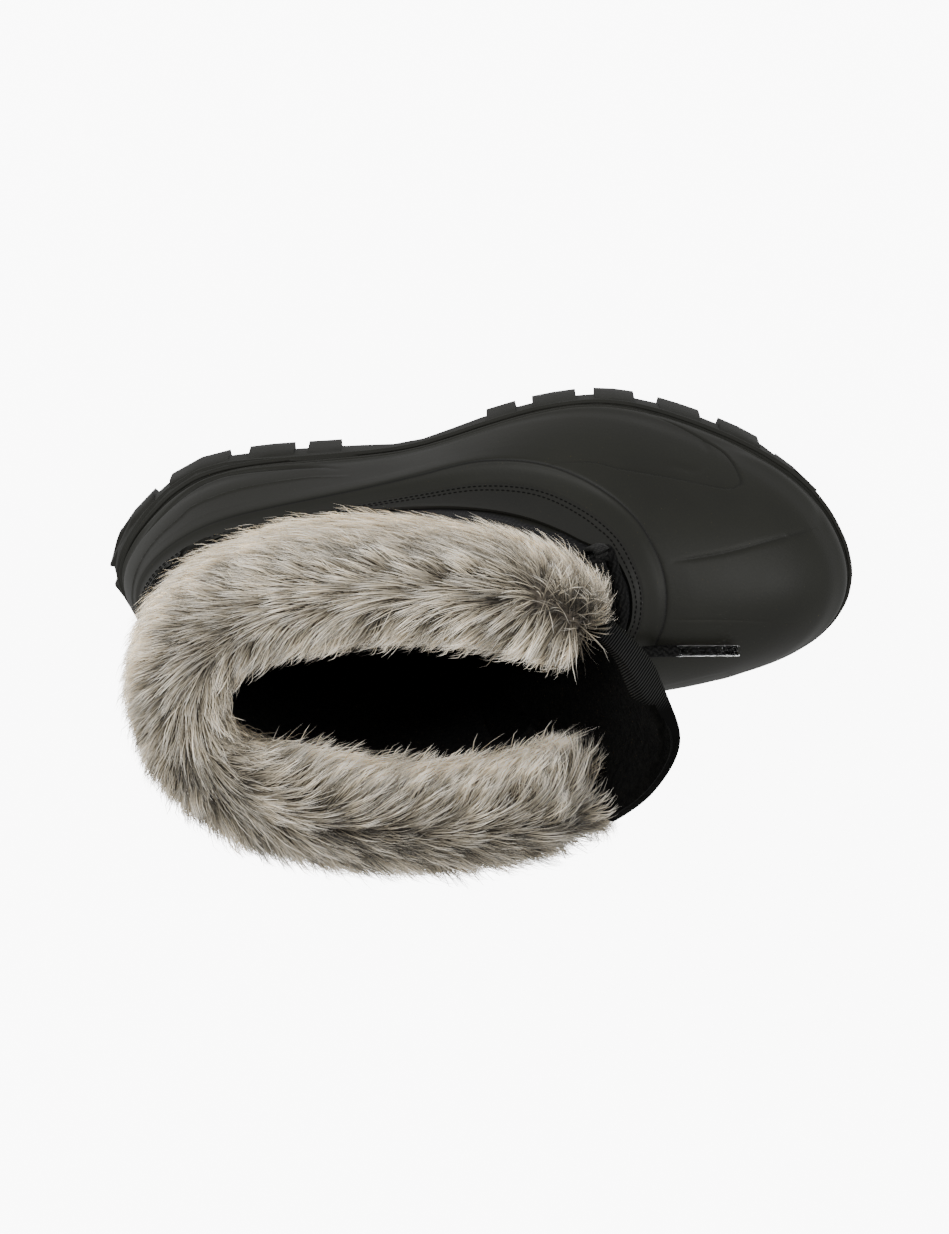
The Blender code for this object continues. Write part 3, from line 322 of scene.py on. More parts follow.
# Once round the foot from the back of the heel, outer side first: the rim where shell and outsole meet, how
# far the outsole stands out there, the ledge round the top of the shell's thick wall, and the size of its
# sewing flange. The columns are rim x, y, z, flare, ledge x, y, z, tuck and lift, in mm.
ROUND = np.array([
    (9.0, 0.5, 34.0, 6.0, 16.5, 1.5, 84.0, 2.5, 10.0),
    (15.0, 15.5, 33.5, 4.5, 22.5, 15.5, 83.0, 2.5, 10.0),
    (34.0, 34.5, 32.5, 2.5, 40.0, 27.8, 80.0, 3.0, 9.5),
    (60.0, 41.8, 31.5, 1.6, 64.0, 34.0, 74.0, 3.8, 9.0),
    (92.0, 44.6, 30.0, 1.2, 94.0, 38.6, 66.0, 4.6, 8.6),
    (120.0, 48.0, 29.0, 1.0, 122.0, 44.5, 62.0, 6.5, 8.0),
    (146.0, 56.0, 28.0, 0.9, 145.0, 50.0, 61.5, 9.0, 7.0),
    (172.0, 63.2, 27.5, 0.9, 168.0, 49.5, 65.0, 9.5, 7.5),
    (198.0, 64.8, 28.0, 0.9, 188.0, 43.0, 73.0, 10.0, 8.0),
    (228.0, 57.0, 30.5, 1.2, 203.0, 32.0, 80.0, 10.0, 8.2),
    (257.0, 43.8, 33.5, 1.6, 211.0, 19.0, 84.0, 10.0, 8.2),
    (276.5, 26.5, 36.5, 2.0, 214.2, 9.0, 85.6, 10.0, 8.2),
    (286.5, 1.5, 38.0, 2.5, 214.8, 0.0, 86.0, 10.0, 8.2),
    (278.5, -19.5, 36.5, 2.0, 213.6, -9.0, 85.6, 10.0, 8.2),
    (260.0, -32.5, 33.5, 1.6, 209.5, -18.5, 84.0, 10.0, 8.2),
    (234.0, -41.0, 30.5, 1.4, 201.0, -29.0, 80.0, 9.5, 8.2),
    (206.0, -44.5, 28.0, 1.4, 186.0, -36.5, 74.0, 8.0, 8.2),
    (176.0, -42.5, 27.5, 1.4, 166.0, -38.8, 68.5, 6.5, 8.2),
    (146.0, -37.2, 29.5, 1.4, 145.0, -37.6, 65.5, 5.0, 8.5),
    (118.0, -35.0, 31.0, 1.4, 121.0, -36.0, 65.5, 4.0, 8.8),
    (92.0, -36.6, 32.0, 1.4, 94.0, -34.5, 68.0, 3.6, 9.0),
    (60.0, -39.2, 32.0, 1.8, 64.0, -31.5, 75.0, 3.2, 9.2),
    (34.0, -33.5, 32.5, 2.5, 40.0, -25.5, 80.0, 3.0, 9.5),
    (15.0, -14.5, 33.5, 4.5, 22.5, -13.0, 83.0, 2.5, 10.0),
])  # fmt: skip


def solid_form(name):
    """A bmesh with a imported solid's form, its loose triangles welded and paired back into quads."""
    bm = bmesh.new()
    bm.from_mesh(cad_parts[name].data)
    bmesh.ops.remove_doubles(bm, verts=bm.verts, dist=2e-5)
    flat, square = math.radians(30), math.radians(60)
    bmesh.ops.join_triangles(bm, faces=bm.faces, angle_face_threshold=flat, angle_shape_threshold=square)
    return bm


def outward(line):
    """The outward direction, level with the floor, all along a closed line round the foot."""
    along = np.roll(line, -1, axis=0) - np.roll(line, 1, axis=0)
    out = unit(np.stack([along[:, 1], -along[:, 0], np.zeros(len(line))], axis=1))
    return out if ((line - line.mean(axis=0)) * out).sum() > 0 else -out


def round_line(first_column, out, up):
    """A closed line in mm round the foot, beside and above the rim (column 0) or the ledge (column 4)."""
    line = smooth_line(ROUND[:, first_column : first_column + 3], 2.0, closed=True)[:-1]
    return line + outward(line) * out + np.array((0, 0, up))


def rubber(name, dark, light, roughness, grain, shine=0.3, paint_groove_shade=False):
    """Moulded rubber: a little uneven in tone and gloss, with a fine grain, and if asked, painted shade in
    its grooves.
    """
    made = new_material(name, light, roughness, Specular_IOR_Level=shine)
    place = laid_place(made)
    cloud = noise(made, place, 22.0, 5.0, 0.55)
    colour = blend_colours(made, cloud, dark, light)
    if paint_groove_shade:
        painted_groove_shade = add_node(made, "Attribute", attribute_name="painted_groove_shade").outputs["Fac"]
        shade = calculate(made, "SUBTRACT", 1.0, painted_groove_shade)
        colour = add_node(made, "HueSaturation", {"Color": colour, "Value": shade}).outputs["Color"]
    feed(made, "Base Color", colour)
    duller = {"From Min": 0.3, "From Max": 0.7, "To Min": roughness - 0.05, "To Max": roughness + 0.08}
    feed(made, "Roughness", add_node(made, "MapRange", {"Value": cloud, **duller}).outputs["Result"])
    raise_surface(made, noise(made, place, 900.0), grain, 0.5)
    return made


def beside_rim(places):
    """How far out from the rim's line places lie, the outsole's flare there and the way out, in mm."""
    rim = smooth_line(ROUND, 1.5, closed=True)[:-1]
    away = outward(rim[:, :3])
    nearest = np.array([np.argmin(((rim[:, :2] - p[:2]) ** 2).sum(axis=1)) for p in places])
    reach = ((places[:, :2] - rim[nearest, :2]) * away[nearest, :2]).sum(axis=1)
    return reach, rim[nearest, 3], away[nearest]


def moulded_ridge(name, line, faces, width, height, finish, slot, closed=False):
    """A low round bead along a line in mm, lying on a surface and sunk a little into it."""
    spots, facing = [], []
    for point in smooth_line(line, 2.0, closed):
        found, normal = faces.find_nearest(Vector(on_boot(point)))[:2]
        spots.append(found)
        facing.append(normal)
    spots, facing = np.array(spots), np.array(facing)
    for _ in range(3):
        facing[1:-1] = facing[:-2] + facing[1:-1] * 2 + facing[2:]
        spots[1:-1] = (spots[:-2] + spots[1:-1] * 2 + spots[2:]) / 4
        facing = unit(facing)
    across = unit(np.cross(np.gradient(spots, axis=0), facing))
    ends = np.ones(len(spots)) if closed else np.sin(np.clip(np.arange(len(spots)) / 6, 0, 1) * math.pi / 2)
    ends = ends if closed else np.minimum(ends, ends[::-1])
    turns = np.arange(10) / 10 * 2 * math.pi
    rise = np.where(np.sin(turns) > 0, np.sin(turns) * height, np.sin(turns) * 0.8)
    rings = spots[:, None] + (
        across[:, None] * (np.cos(turns) * width)[None, :, None]
        + facing[:, None] * (rise[None] * ends[:, None] - 0.3 * (1 - ends[:, None]))[..., None]
    ) * MM
    if closed:
        rings[-1] = rings[0]
    return add_piece(name, laid_sheet(rings, wrap=True), finish, slot)


def faces_of(mesh):
    return BVHTree.FromPolygons([v.co[:] for v in mesh.vertices], [p.vertices[:] for p in mesh.polygons])


sole_rubber = rubber("outsole rubber", (0.0135, 0.0135, 0.0104), (0.0205, 0.0205, 0.0160), 0.6, 0.00012)
LUG_DRAW, LUG_SLOPE = 0.20, 3.0  # the side lugs' reach is drawn in and their tops slope down to their edges
sole_form = solid_form("outsole")
places = np.array([v.co for v in sole_form.verts]) / MM + BOOT_MIDDLE
reach, flare, away = beside_rim(places)
past = reach - flare - 0.2 + 1.7 * np.clip((places[:, 0] - 256) / 6, 0, 1) * (places[:, 2] < 30)
drawn = LUG_DRAW * np.clip((258 - places[:, 0]) / 10, 0, 1)  # none stand out round the toe
for vert, over, direction, kept in zip(sole_form.verts, past, away, drawn):
    if over > 0:
        vert.co -= Vector(direction * over * (1 - kept) * MM)
        if vert.co.z > 0.0175:
            vert.co.z -= min(over, 1.2) / 1.2 * LUG_SLOPE * MM
outsole = add_piece("outsole_rubber", sole_form, sole_rubber, "outsole_rubber", "outsole", rounding=0.0011)

SOLE_GROOVE = [
    (100, 45, 29.5), (82, 44, 30.5), (55, 42.4, 26.7), (41, 39.6, 24.5), (31.6, 36.8, 24.5), (23, 30.6, 25),
    (18.5, 25.3, 27), (13.7, 18.4, 29.6), (10, 12, 31.2), (7, 5.4, 31.8), (5.5, 0.5, 32), (7, -5.4, 31.8),
    (10, -12, 31.2), (14, -18, 29.6), (22, -27, 26.5), (36, -34, 25.5), (60, -39.5, 26.7), (85, -38, 29.5),
]  # fmt: skip
sole_faces = faces_of(outsole.data)
moulded_ridge("heel_ridge", SOLE_GROOVE, sole_faces, 1.3, 0.9, sole_rubber, "outsole_rubber")
welt_row = round_line(0, 0.9, -1.0)
moulded_ridge("welt_bead", welt_row[::6], sole_faces, 1.1, 0.8, sole_rubber, "outsole_rubber", closed=True)


# ---------------------------------------------------------------- insole
# A cut felt foot bed with a woven face that lies loose in the shell.

insole_felt = new_material("insole felt", (0.012, 0.012, 0.012), 0.95, Sheen_Weight=0.3)
felt = noise(insole_felt, laid_place(insole_felt), 1400.0, 4.0)
tint(insole_felt, felt, (0.008, 0.008, 0.008), (0.022, 0.022, 0.021))
raise_surface(insole_felt, felt, 0.0003)
add_piece("insole_felt", solid_form("insole"), insole_felt, "insole_fabric", "insole", rounding=0.0004)


# ---------------------------------------------------------------- shell
# The waterproof foot shell is moulded in one piece of thick dark grey rubber, with a raised heel counter, a
# toe cap and folds. Its thin top flange is sewn to the upper with two rows of dark thread.

CAP_FOLD = [(216, 15.6, 84), (235, 17.6, 78.5), (254, 20, 67.5), (274, 22, 53)]
CAP_FADE = [
    (271, 21.5, 56), (275, 24, 49), (273, 30, 43), (266, 38, 40), (256, 44, 38), (244, 50, 40), (232, 54, 41),
]  # fmt: skip
WING_EDGE = [
    (169, 49, 65.5), (187, 49.5, 65), (198, 47.6, 67), (215, 45.5, 67), (226, 43, 65.5), (237, 39.4, 62.6),
    (242, 39.5, 60), (243.5, 41.5, 56), (238, 49.5, 46.5), (230, 54, 42.5), (221, 58.5, 39), (212, 62, 36),
]  # fmt: skip
WING_FOLD = [
    (215, 47.5, 63), (220, 47.5, 61), (225.5, 46, 60.4), (230, 47, 56.6), (232, 50.4, 50), (230, 54, 42.6),
]  # fmt: skip
INNER_FOLD = [(215, -6, 86), (241, -8, 78), (267, -12, 64)]
INNER_WING = [
    (175, -39, 62), (200, -37, 66), (218, -33, 66), (233, -28, 62), (239, -28, 58), (238, -32, 50),
    (230, -37, 43), (220, -41, 38),
]  # fmt: skip
HEEL_CHANNEL = [
    (93, 43, 45), (82, 43, 40), (54, 41, 39), (42, 38, 40), (35, 34, 42), (29, 29, 44), (22, 21, 46),
    (17.5, 13.5, 48), (13, 2, 48), (17.5, -12.5, 48), (22, -19, 46), (29, -27, 44), (42, -35, 40),
    (60, -38, 39), (82, -38, 41), (93, -36.5, 46),
]  # fmt: skip
COUNTER_EDGE = [
    (96, 42, 52), (82.7, 41.2, 50.2), (73.3, 40.3, 51.5), (59.5, 38.6, 54.4), (45.3, 35.2, 58.4),
    (36, 31, 60.6), (31.7, 28, 64.5), (22.5, 19.3, 69), (16.8, 7.7, 76), (15.5, 1, 77.5), (16.5, -6, 76),
    (22, -17, 69), (31, -26, 64.5), (45, -32.5, 58.4), (60, -36, 54.4), (82, -36, 50.2), (96, -35, 52),
]  # fmt: skip
SHOULDER_EASE = 1.2  # mm over which a shoulder's step rises


def mesh_arrays(mesh):
    """A mesh's points and the way its surface faces there."""
    places, normals = np.empty(len(mesh.vertices) * 3), np.empty(len(mesh.vertices) * 3)
    mesh.vertices.foreach_get("co", places)
    mesh.vertex_normals.foreach_get("vector", normals)
    return places.reshape(-1, 3), normals.reshape(-1, 3)


def beside_line(places, normals, line):
    """How far points in mm are from a line, on which side of it, and a share that falls at its ends."""
    near = np.full(len(places), 1e3)
    side, share = np.zeros(len(places)), np.zeros(len(places))
    low, high = line.min(axis=0) - 14, line.max(axis=0) + 14
    some = np.flatnonzero(((places > low) & (places < high)).all(axis=1))
    way = np.gradient(line, axis=0)
    for part in np.array_split(some, max(1, len(some) // 4000)):
        gaps = np.linalg.norm(places[part, None] - line[None], axis=2)
        nearest = gaps.argmin(axis=1)
        near[part] = gaps[np.arange(len(part)), nearest]
        across = np.cross(way[nearest], normals[part])
        side[part] = np.sign(((places[part] - line[nearest]) * across).sum(axis=1))
        share[part] = nearest / (len(line) - 1)
    return near, side, np.clip(np.minimum(share, 1 - share) * 6, 0, 1) ** 0.7


def soften(mesh, line, reach, times):
    """Smooths a form so many times within so many mm of a line."""
    places = mesh_arrays(mesh)[0] / MM + BOOT_MIDDLE
    near = np.linalg.norm(places[:, None] - line[None], axis=2).min(axis=1) < reach
    bm = bmesh.new()
    bm.from_mesh(mesh)
    beside = [vert for vert, is_near in zip(bm.verts, near) if is_near]
    for _ in range(times):
        bmesh.ops.smooth_vert(bm, verts=beside, factor=0.5, use_axis_x=True, use_axis_y=True, use_axis_z=True)
    bm.to_mesh(mesh)
    bm.free()


def tree_of(spots):
    """A tree that finds the nearest of some spots."""
    tree = KDTree(len(spots))
    for i, spot in enumerate(spots):
        tree.insert(spot, i)
    tree.balance()
    return tree


def mould(mesh, marks, fine):
    """Presses lines into a rubber surface, which is first made finer near its narrow lines.

    A mark is a line, then strokes of (kind, width, height) in mm: round is a channel or bead, left and right
    a shoulder on that side, and shade paints shade into the colour along the line, where shade falls in the
    groove. fine has (reach, width) rounds: the surface within reach of the lines that are narrower than width
    is divided once more.
    """
    here = mesh_arrays(mesh)[0] / MM + BOOT_MIDDLE
    faces = BVHTree.FromPolygons(here.tolist(), [p.vertices[:] for p in mesh.polygons])
    lines = [np.array([faces.find_nearest(p)[0] for p in smooth_line(line, 0.7)]) for line, *_ in marks]
    bm = bmesh.new()
    bm.from_mesh(mesh)
    for reach, widest in fine:
        narrow = [min(width for _, width, _ in strokes) < widest for _, *strokes in marks]
        tree = tree_of(np.vstack([line for line, is_narrow in zip(lines, narrow) if is_narrow]))
        middles = {face: np.array(face.calc_center_median()) / MM + BOOT_MIDDLE for face in bm.faces}
        near = [face for face, middle in middles.items() if tree.find(middle)[2] < reach]
        edges = list({edge for face in near for edge in face.edges})
        bmesh.ops.subdivide_edges(bm, edges=edges, cuts=1, use_grid_fill=True)
    bm.to_mesh(mesh)
    bm.free()
    places, normals = mesh_arrays(mesh)
    here = places / MM + BOOT_MIDDLE
    moved, shade = np.zeros(len(here)), np.zeros(len(here))
    for line, (_, *strokes) in zip(lines, marks):
        near, side, ends = beside_line(here, normals, line)
        for kind, width, height in strokes:
            bell = height * ends * np.exp(-((near / width) ** 2))
            if kind == "round":
                moved += bell
            elif kind == "shade":
                shade = np.maximum(shade, bell)
            else:
                past = near * (side if kind == "left" else -side)
                moved += height * ends * np.exp(-near / width) * np.clip(0.5 + past / SHOULDER_EASE, 0, 1)
    for i in np.flatnonzero(np.abs(moved) > 0.01):
        far = faces.ray_cast(Vector(here[i] + normals[i] * 0.3), Vector(normals[i]), 70.0)[3]
        if far is not None and far > 8:  # it faces the inside of the shell, which stays plain
            moved[i] = shade[i] = 0
    # the painted shade along the grooves goes on as a point attribute that darkens the rubber's colour
    mesh.attributes.new("painted_groove_shade", "FLOAT", "POINT").data.foreach_set("value", shade)
    mesh.vertices.foreach_set("co", (places + normals * moved[:, None] * MM).ravel())
    mesh.update()


shell_dark, shell_light = (0.0146, 0.0148, 0.0110), (0.0205, 0.0208, 0.0158)
shell_rubber = rubber("shell rubber", shell_dark, shell_light, 0.47, 0.00008, paint_groove_shade=True)
shell_form = solid_form("shell")
shell = add_piece("shell_rubber", shell_form, shell_rubber, "shell_rubber", "shell", levels=3, crease=1.0)
ledge_line = round_line(4, 0.0, 0.2)
soften(shell.data, ledge_line[::2], reach=8.0, times=60)
# The strokes named shade paint shade into the rubber's colour along each groove, fold and the ledge.
mould(shell.data, [
    (CAP_FOLD, ("round", 0.9, -0.45), ("shade", 0.6, 0.3)),
    (CAP_FADE, ("round", 3.0, -0.45)),
    (WING_EDGE, ("left", 5.0, 0.35), ("round", 0.5, -0.4), ("shade", 0.45, 0.4)),
    (WING_FOLD, ("round", 1.2, -0.5)),
    (INNER_FOLD, ("round", 0.5, -0.12)),
    (INNER_WING, ("right", 5.0, 0.5), ("round", 0.5, -0.4), ("shade", 0.45, 0.4)),
    (HEEL_CHANNEL, ("round", 1.2, -1.35), ("round", 4.5, 0.4), ("shade", 0.8, 0.4)),
    (COUNTER_EDGE, ("left", 4.5, -1.0), ("round", 0.8, 0.8)),
    (round_line(0, 0.5, 4.0)[::4], ("round", 0.8, -0.7)),
    (ledge_line[::4], ("round", 0.55, -0.25), ("shade", 0.5, 0.88)),
], fine=((0.9, 1.2), (0.55, 0.7)))  # fmt: skip


# ---------------------------------------------------------------- upper
# A soft black shaft of woven nylon over fleece, with a smooth synthetic band round its foot, sewn inside the
# shell's flange. It is open in front, where the facings and the tongue close it.


def weave(name, dark, light, roughness, pitch, relief, round_shaft=False):
    """Woven cloth: fine crossing ribs with a little unevenness in the yarn."""
    sheen = {"Specular_IOR_Level": 0.25, "Sheen_Weight": 0.06, "Sheen_Roughness": 0.5}
    made = new_material(name, light, roughness, **sheen)
    place = laid_place(made, turn=0.8)
    if round_shaft:  # the warp stands upright all the way round
        along = add_node(made, "SeparateXYZ", {"Vector": laid_place(made)})
        ahead = calculate(made, "ADD", along.outputs["X"], 0.035)
        turned = calculate(made, "ARCTAN2", along.outputs["Y"], ahead)
        sockets = {"X": calculate(made, "MULTIPLY", turned, 0.06), "Z": along.outputs["Z"]}
        place = add_node(made, "CombineXYZ", sockets).outputs["Vector"]
    ribs = {"Vector": place, "Scale": 0.314 / pitch, "Distortion": 0.6}
    warp = add_node(made, "TexWave", ribs, bands_direction="X")
    weft = add_node(made, "TexWave", ribs, bands_direction="Z")
    crossed = calculate(made, "MULTIPLY", warp.outputs["Fac"], weft.outputs["Fac"])
    uneven = noise(made, place, 400.0)
    mixed = calculate(made, "MULTIPLY", calculate(made, "ADD", crossed, 0.35), uneven)
    tint(made, mixed, dark, light, 0.1, 0.6)
    raise_surface(made, mixed, relief)
    return made


nylon_dark, nylon_light = (0.007, 0.007, 0.008), (0.022, 0.022, 0.022)
nylon = weave("woven black nylon", nylon_dark, nylon_light, 0.75, 0.0011, 0.00025, round_shaft=True)
lining = new_material(
    "black fleece lining", (0.004, 0.004, 0.004), 0.95, Specular_IOR_Level=0.1,
    Sheen_Weight=0.03, Sheen_Roughness=0.6,
)  # fmt: skip
tufts = noise(lining, laid_place(lining), 420.0, 5.0, 0.7)
tint(lining, tufts, (0.002, 0.002, 0.002), (0.011, 0.011, 0.010), 0.35, 0.75)
raise_surface(lining, tufts, 0.0012)
smooth_band = rubber("smooth synthetic", (0.014, 0.014, 0.0115), (0.020, 0.020, 0.0165), 0.5, 0.0001)

RING_BACK, RING_LENGTH = 20.5, 173.0  # the shaft's foot, behind and from there to its front
BAND_LOW, BAND_RISE = 77.0, 12.0  # the band's edge at the side, and how much higher it is behind and in front
upper_form = solid_form("upper")
upper_face = BVHTree.FromBMesh(upper_form)
for face in upper_form.faces:
    middle = np.array(face.calc_center_median()) / MM + BOOT_MIDDLE
    ahead = 2 * (middle[0] - RING_BACK) / RING_LENGTH - 1
    start = face.calc_center_median() + face.normal * 0.5 * MM
    if upper_face.ray_cast(start, face.normal, 180 * MM)[0] is not None:  # it faces the foot
        face.material_index = 2
    elif middle[2] < BAND_LOW + BAND_RISE * abs(ahead) ** 1.6:
        face.material_index = 1
upper_finishes = [nylon, smooth_band, lining]
upper = add_piece("upper_textile", upper_form, upper_finishes, "upper_fabric", "upper", levels=2)


# ---------------------------------------------------------------- rand
# A smooth black synthetic strip, folded over the shell's flange and up round the foot of the shaft, and sewn
# through both with two rows of dark thread.

RAND_FOOT, RAND_THICKNESS, RAND_OFFSET = 0.80, 0.7, 1.6  # it starts this share of the way up the flange
FLANGE_HEIGHT, BAND_HEIGHT = 11.0, 17.0  # mm up the wall: the flange above the ledge, and the band above that
RAND_HEIGHTS = (14.0, 17.0, 19.5, 22.0)  # mm up the wall from the ledge, at the sides
THROAT_DIP = 0.42  # how much lower the strip's edge is under the lacing
RING_TO_OUTER, RING_TO_INNER, RING_POWER = 36.5, 34.0, 2.3  # the ring where the shaft starts, above the band
RING_LOW, RING_BACK_RISE, RING_FRONT_RISE = 84.0, 17.0, 19.0
LEDGE_BACK, LEDGE_FRONT = ROUND[0, 4], ROUND[12, 4]
table = smooth_line(ROUND, 3.5, closed=True)[:-1]
ledge_row, ledge_out = table[:, 4:7], outward(table[:, 4:7])
share = np.clip((table[:, 4] - LEDGE_BACK) / (LEDGE_FRONT - LEDGE_BACK), 0, 1)
ahead = 2 * share - 1
side_reach = np.where(ledge_row[:, 1] > 0.4, RING_TO_OUTER, -RING_TO_INNER)
side_reach = side_reach * (1 - np.abs(ahead) ** RING_POWER) ** (1 / RING_POWER)
rise = RING_BACK_RISE * np.clip(-ahead, 0, 1) ** 1.6 + RING_FRONT_RISE * np.clip(ahead, 0, 1) ** 1.6
ring_row = np.stack([RING_BACK + share * RING_LENGTH, side_reach, RING_LOW + rise], axis=1)
flange_row = ledge_row - ledge_out * table[:, 7:8] + np.array((0, 0, 1)) * table[:, 8:9]
at_throat = np.clip((24 - np.abs(ring_row[:, 1:2])) / 8, 0, 1) * (ring_row[:, :1] > 100)
shell_faces, upper_faces = faces_of(shell.data), faces_of(upper.data)


def laid_on(points, faces, offset):
    """Points in mm moved onto a surface, and then out from it by offset."""
    found = [faces.find_nearest(Vector(on_boot(p)))[:2] for p in points]
    return np.array([f / MM for f, n in found]) + np.array([n for f, n in found]) * offset + BOOT_MIDDLE


profile = []
for part in (RAND_FOOT, 0.87, 0.95):
    on_flange = ledge_row + (flange_row - ledge_row) * part
    profile.append(laid_on(on_flange, shell_faces, RAND_THICKNESS * (0.5 if part == RAND_FOOT else 1)))
for height in RAND_HEIGHTS:
    over_flange = (height - FLANGE_HEIGHT) * (1 - at_throat * THROAT_DIP)
    on_band = flange_row + (ring_row - flange_row) * over_flange / BAND_HEIGHT
    profile.append(laid_on(on_band + ledge_out * 3, upper_faces, RAND_OFFSET))
outer = np.array(profile)
for _ in range(2):
    outer = (np.roll(outer, 1, axis=1) + outer * 2 + np.roll(outer, -1, axis=1)) / 4
inward = unit(np.cross(np.roll(outer, -1, axis=1) - np.roll(outer, 1, axis=1), np.gradient(outer, axis=0)))
inward *= -np.sign((inward * outward(outer[0])[None]).sum())
closed_section = np.concatenate([outer, (outer + inward * RAND_THICKNESS * 1.6)[::-1]])
sections = np.swapaxes(closed_section, 0, 1)
rand_form = laid_sheet(on_boot(np.concatenate([sections, sections[:1]])), wrap=True)
rand = add_piece("rand_strip", rand_form, smooth_band, "upper_fabric", levels=1, sharp=60)

THREAD_ROWS = (0.93, 1.1)  # shares of the way from the ledge to the flange's top
STITCH_PITCH, STITCH_LENGTH, THREAD_SIZE = 2.0, 1.45, 0.62
rand_faces = faces_of(rand.data)
thread = new_material("dark sewing thread", (0.003, 0.003, 0.003), 0.7, Specular_IOR_Level=0.15)
thread_form = bmesh.new()
for share in THREAD_ROWS:
    sewn = on_boot(smooth_line(ledge_row + (flange_row - ledge_row) * share, STITCH_PITCH, closed=True))
    for here, after in zip(sewn, sewn[1:]):
        spot, facing = rand_faces.find_nearest(Vector((here + after) / 2))[:2]
        way = Vector(after - here).normalized()
        turned = Matrix((way, facing.cross(way).normalized(), facing)).transposed().to_4x4()
        size = Matrix.Diagonal((STITCH_LENGTH / 2 * MM, THREAD_SIZE / 2 * MM, THREAD_SIZE / 2 * MM, 1))
        lying = Matrix.Translation(spot) @ turned @ size @ Matrix.Rotation(math.pi / 2, 4, "Y")
        bmesh.ops.create_uvsphere(thread_form, u_segments=6, v_segments=5, radius=1, matrix=lying)
add_piece("rand_stitches", thread_form, thread, "upper_fabric")


# ---------------------------------------------------------------- facings and lace loops
# Two smooth synthetic eyestay strips sewn along the throat, each with four D-shaped loops of narrow black
# webbing.

loop_tape = weave("lace loop tape", (0.004, 0.004, 0.0035), (0.018, 0.018, 0.016), 0.7, 0.0011, 0.0003)
LOOP_TAKEN = 4.2  # mm that the straps are narrower at their upper edge, so that they stand open


def narrowed(form, taken):
    """A strap with so many mm taken off its upper edge."""
    across = max(form.edges, key=lambda edge: edge.calc_length())
    low, high = sorted([vert.co.copy() for vert in across.verts], key=lambda co: co.z)
    up = (high - low).normalized()
    for vert in form.verts:
        if (vert.co - (low + high) / 2).dot(up) > 0:
            vert.co -= up * taken * MM
    return form


for side in ("lateral", "medial"):
    facing = f"facing_{side}"
    add_piece(f"{facing}_strip", solid_form(facing), smooth_band, "webbing", facing, levels=2)
    for number in (1, 2, 3, 4):
        loop = f"loop_{side}_{number}"
        loop_form = narrowed(solid_form(loop), LOOP_TAKEN)
        loop_face = BVHTree.FromBMesh(loop_form)
        for face in loop_form.faces:  # the inside takes the darker fleece: painted shade for the loop's dark eye
            start = face.calc_center_median() + face.normal * 0.3 * MM
            face.material_index = 1 if loop_face.ray_cast(start, face.normal, 20 * MM)[0] is not None else 0
        add_piece(f"{loop}_webbing", loop_form, [loop_tape, lining], "webbing", loop, levels=2)


# ---------------------------------------------------------------- lace
# The same braided cord, run through all eight loops in two crossing strands with a bar below them.

FIRST_STRAND = [
    (191.9, 21.6, 99.8), (185.8, 20.5, 106.9), (185.4, 14.0, 108.9), (186.8, 0.0, 110.3),
    (182.7, -14.7, 111.4), (171.4, -25.3, 113.1), (168.1, -25.2, 121.9), (172.7, -17.0, 127.1),
    (176.8, 0.0, 129.3), (172.1, 17.1, 130.2), (163.2, 26.8, 132.5), (161.1, 26.9, 141.6),
    (167.9, 17.1, 147.0), (171.6, 0.0, 149.3), (167.1, -17.4, 150.2), (157.8, -28.3, 153.2),
    (158.2, -29.0, 162.5),
]  # fmt: skip
SECOND_STRAND = [
    (190.7, -21.3, 98.8), (184.2, -21.7, 105.7), (185.0, -14.1, 108.7), (189.1, -0.1, 111.8),
    (183.1, 14.7, 111.6), (173.2, 25.2, 113.6), (169.6, 25.1, 122.3), (173.3, 17.0, 127.2),
    (179.4, -0.1, 130.3), (171.4, -17.1, 130.1), (162.0, -26.7, 132.2), (159.9, -27.1, 141.4),
    (167.6, -17.1, 146.9), (174.4, -0.1, 149.7), (167.3, 17.4, 150.3), (158.6, 28.3, 153.3),
    (158.9, 29.0, 162.7),
]  # fmt: skip
FOOT_BAR = [
    (191.3, 21.5, 100.5), (193.2, 21.8, 98.3), (197.8, 0.0, 101.6), (192.0, -21.2, 97.4),
    (190.0, -21.4, 99.5),
]  # fmt: skip
LACE_RUNS = {"first_strand": FIRST_STRAND, "second_strand": SECOND_STRAND, "foot_bar": FOOT_BAR}
for name, route in LACE_RUNS.items():
    strand = braided_tube(smooth_line(on_boot(route), 0.0006), LACE_RADIUS * MM)
    add_piece(f"lace_{name}", strand, lace_black, "lace_cord", "lace")


# ---------------------------------------------------------------- tongue
# A padded tongue of black nylon, faced with deep black fleece on its inner side. Its top falls forward.

soft_black = {"Specular_IOR_Level": 0.06, "Sheen_Weight": 0.02}
plush = new_material("black plush fleece", (0.010, 0.010, 0.009), 0.95, **soft_black)
pile = noise(plush, laid_place(plush), 380.0, 6.0, 0.7)
tint(plush, pile, (0.0006, 0.0006, 0.0005), (0.0065, 0.0062, 0.0052), 0.4, 0.78)
raise_surface(plush, pile, 0.0016)
TONGUE_TRIM = [  # mm sideways, and mm that the top edge is drawn back there
    (-32, -3.0), (-24, -3.4), (-16, -2.6), (-8, -1.3), (3, -4.0), (9, -5.0), (20, -2.5), (28, -4.5),
]  # fmt: skip
FLAP_ABOVE, FLAP_FRONT = Vector((-0.66, 0, 0.75)), Vector((0.75, 0, 0.66))  # the fallen top's two faces
FLAP_LOW = 0.222  # the height where the top falls forward


def settle_tongue(form):
    """Draws the tongue's top edge in, so that it ends in a soft point a little to the inner side."""
    for vert in form.verts:
        place = np.array(vert.co) / MM + BOOT_MIDDLE
        drawn = np.interp(place[1], *np.transpose(TONGUE_TRIM)) * np.clip((place[2] - 205) / 35, 0, 1)
        vert.co.x += drawn * MM


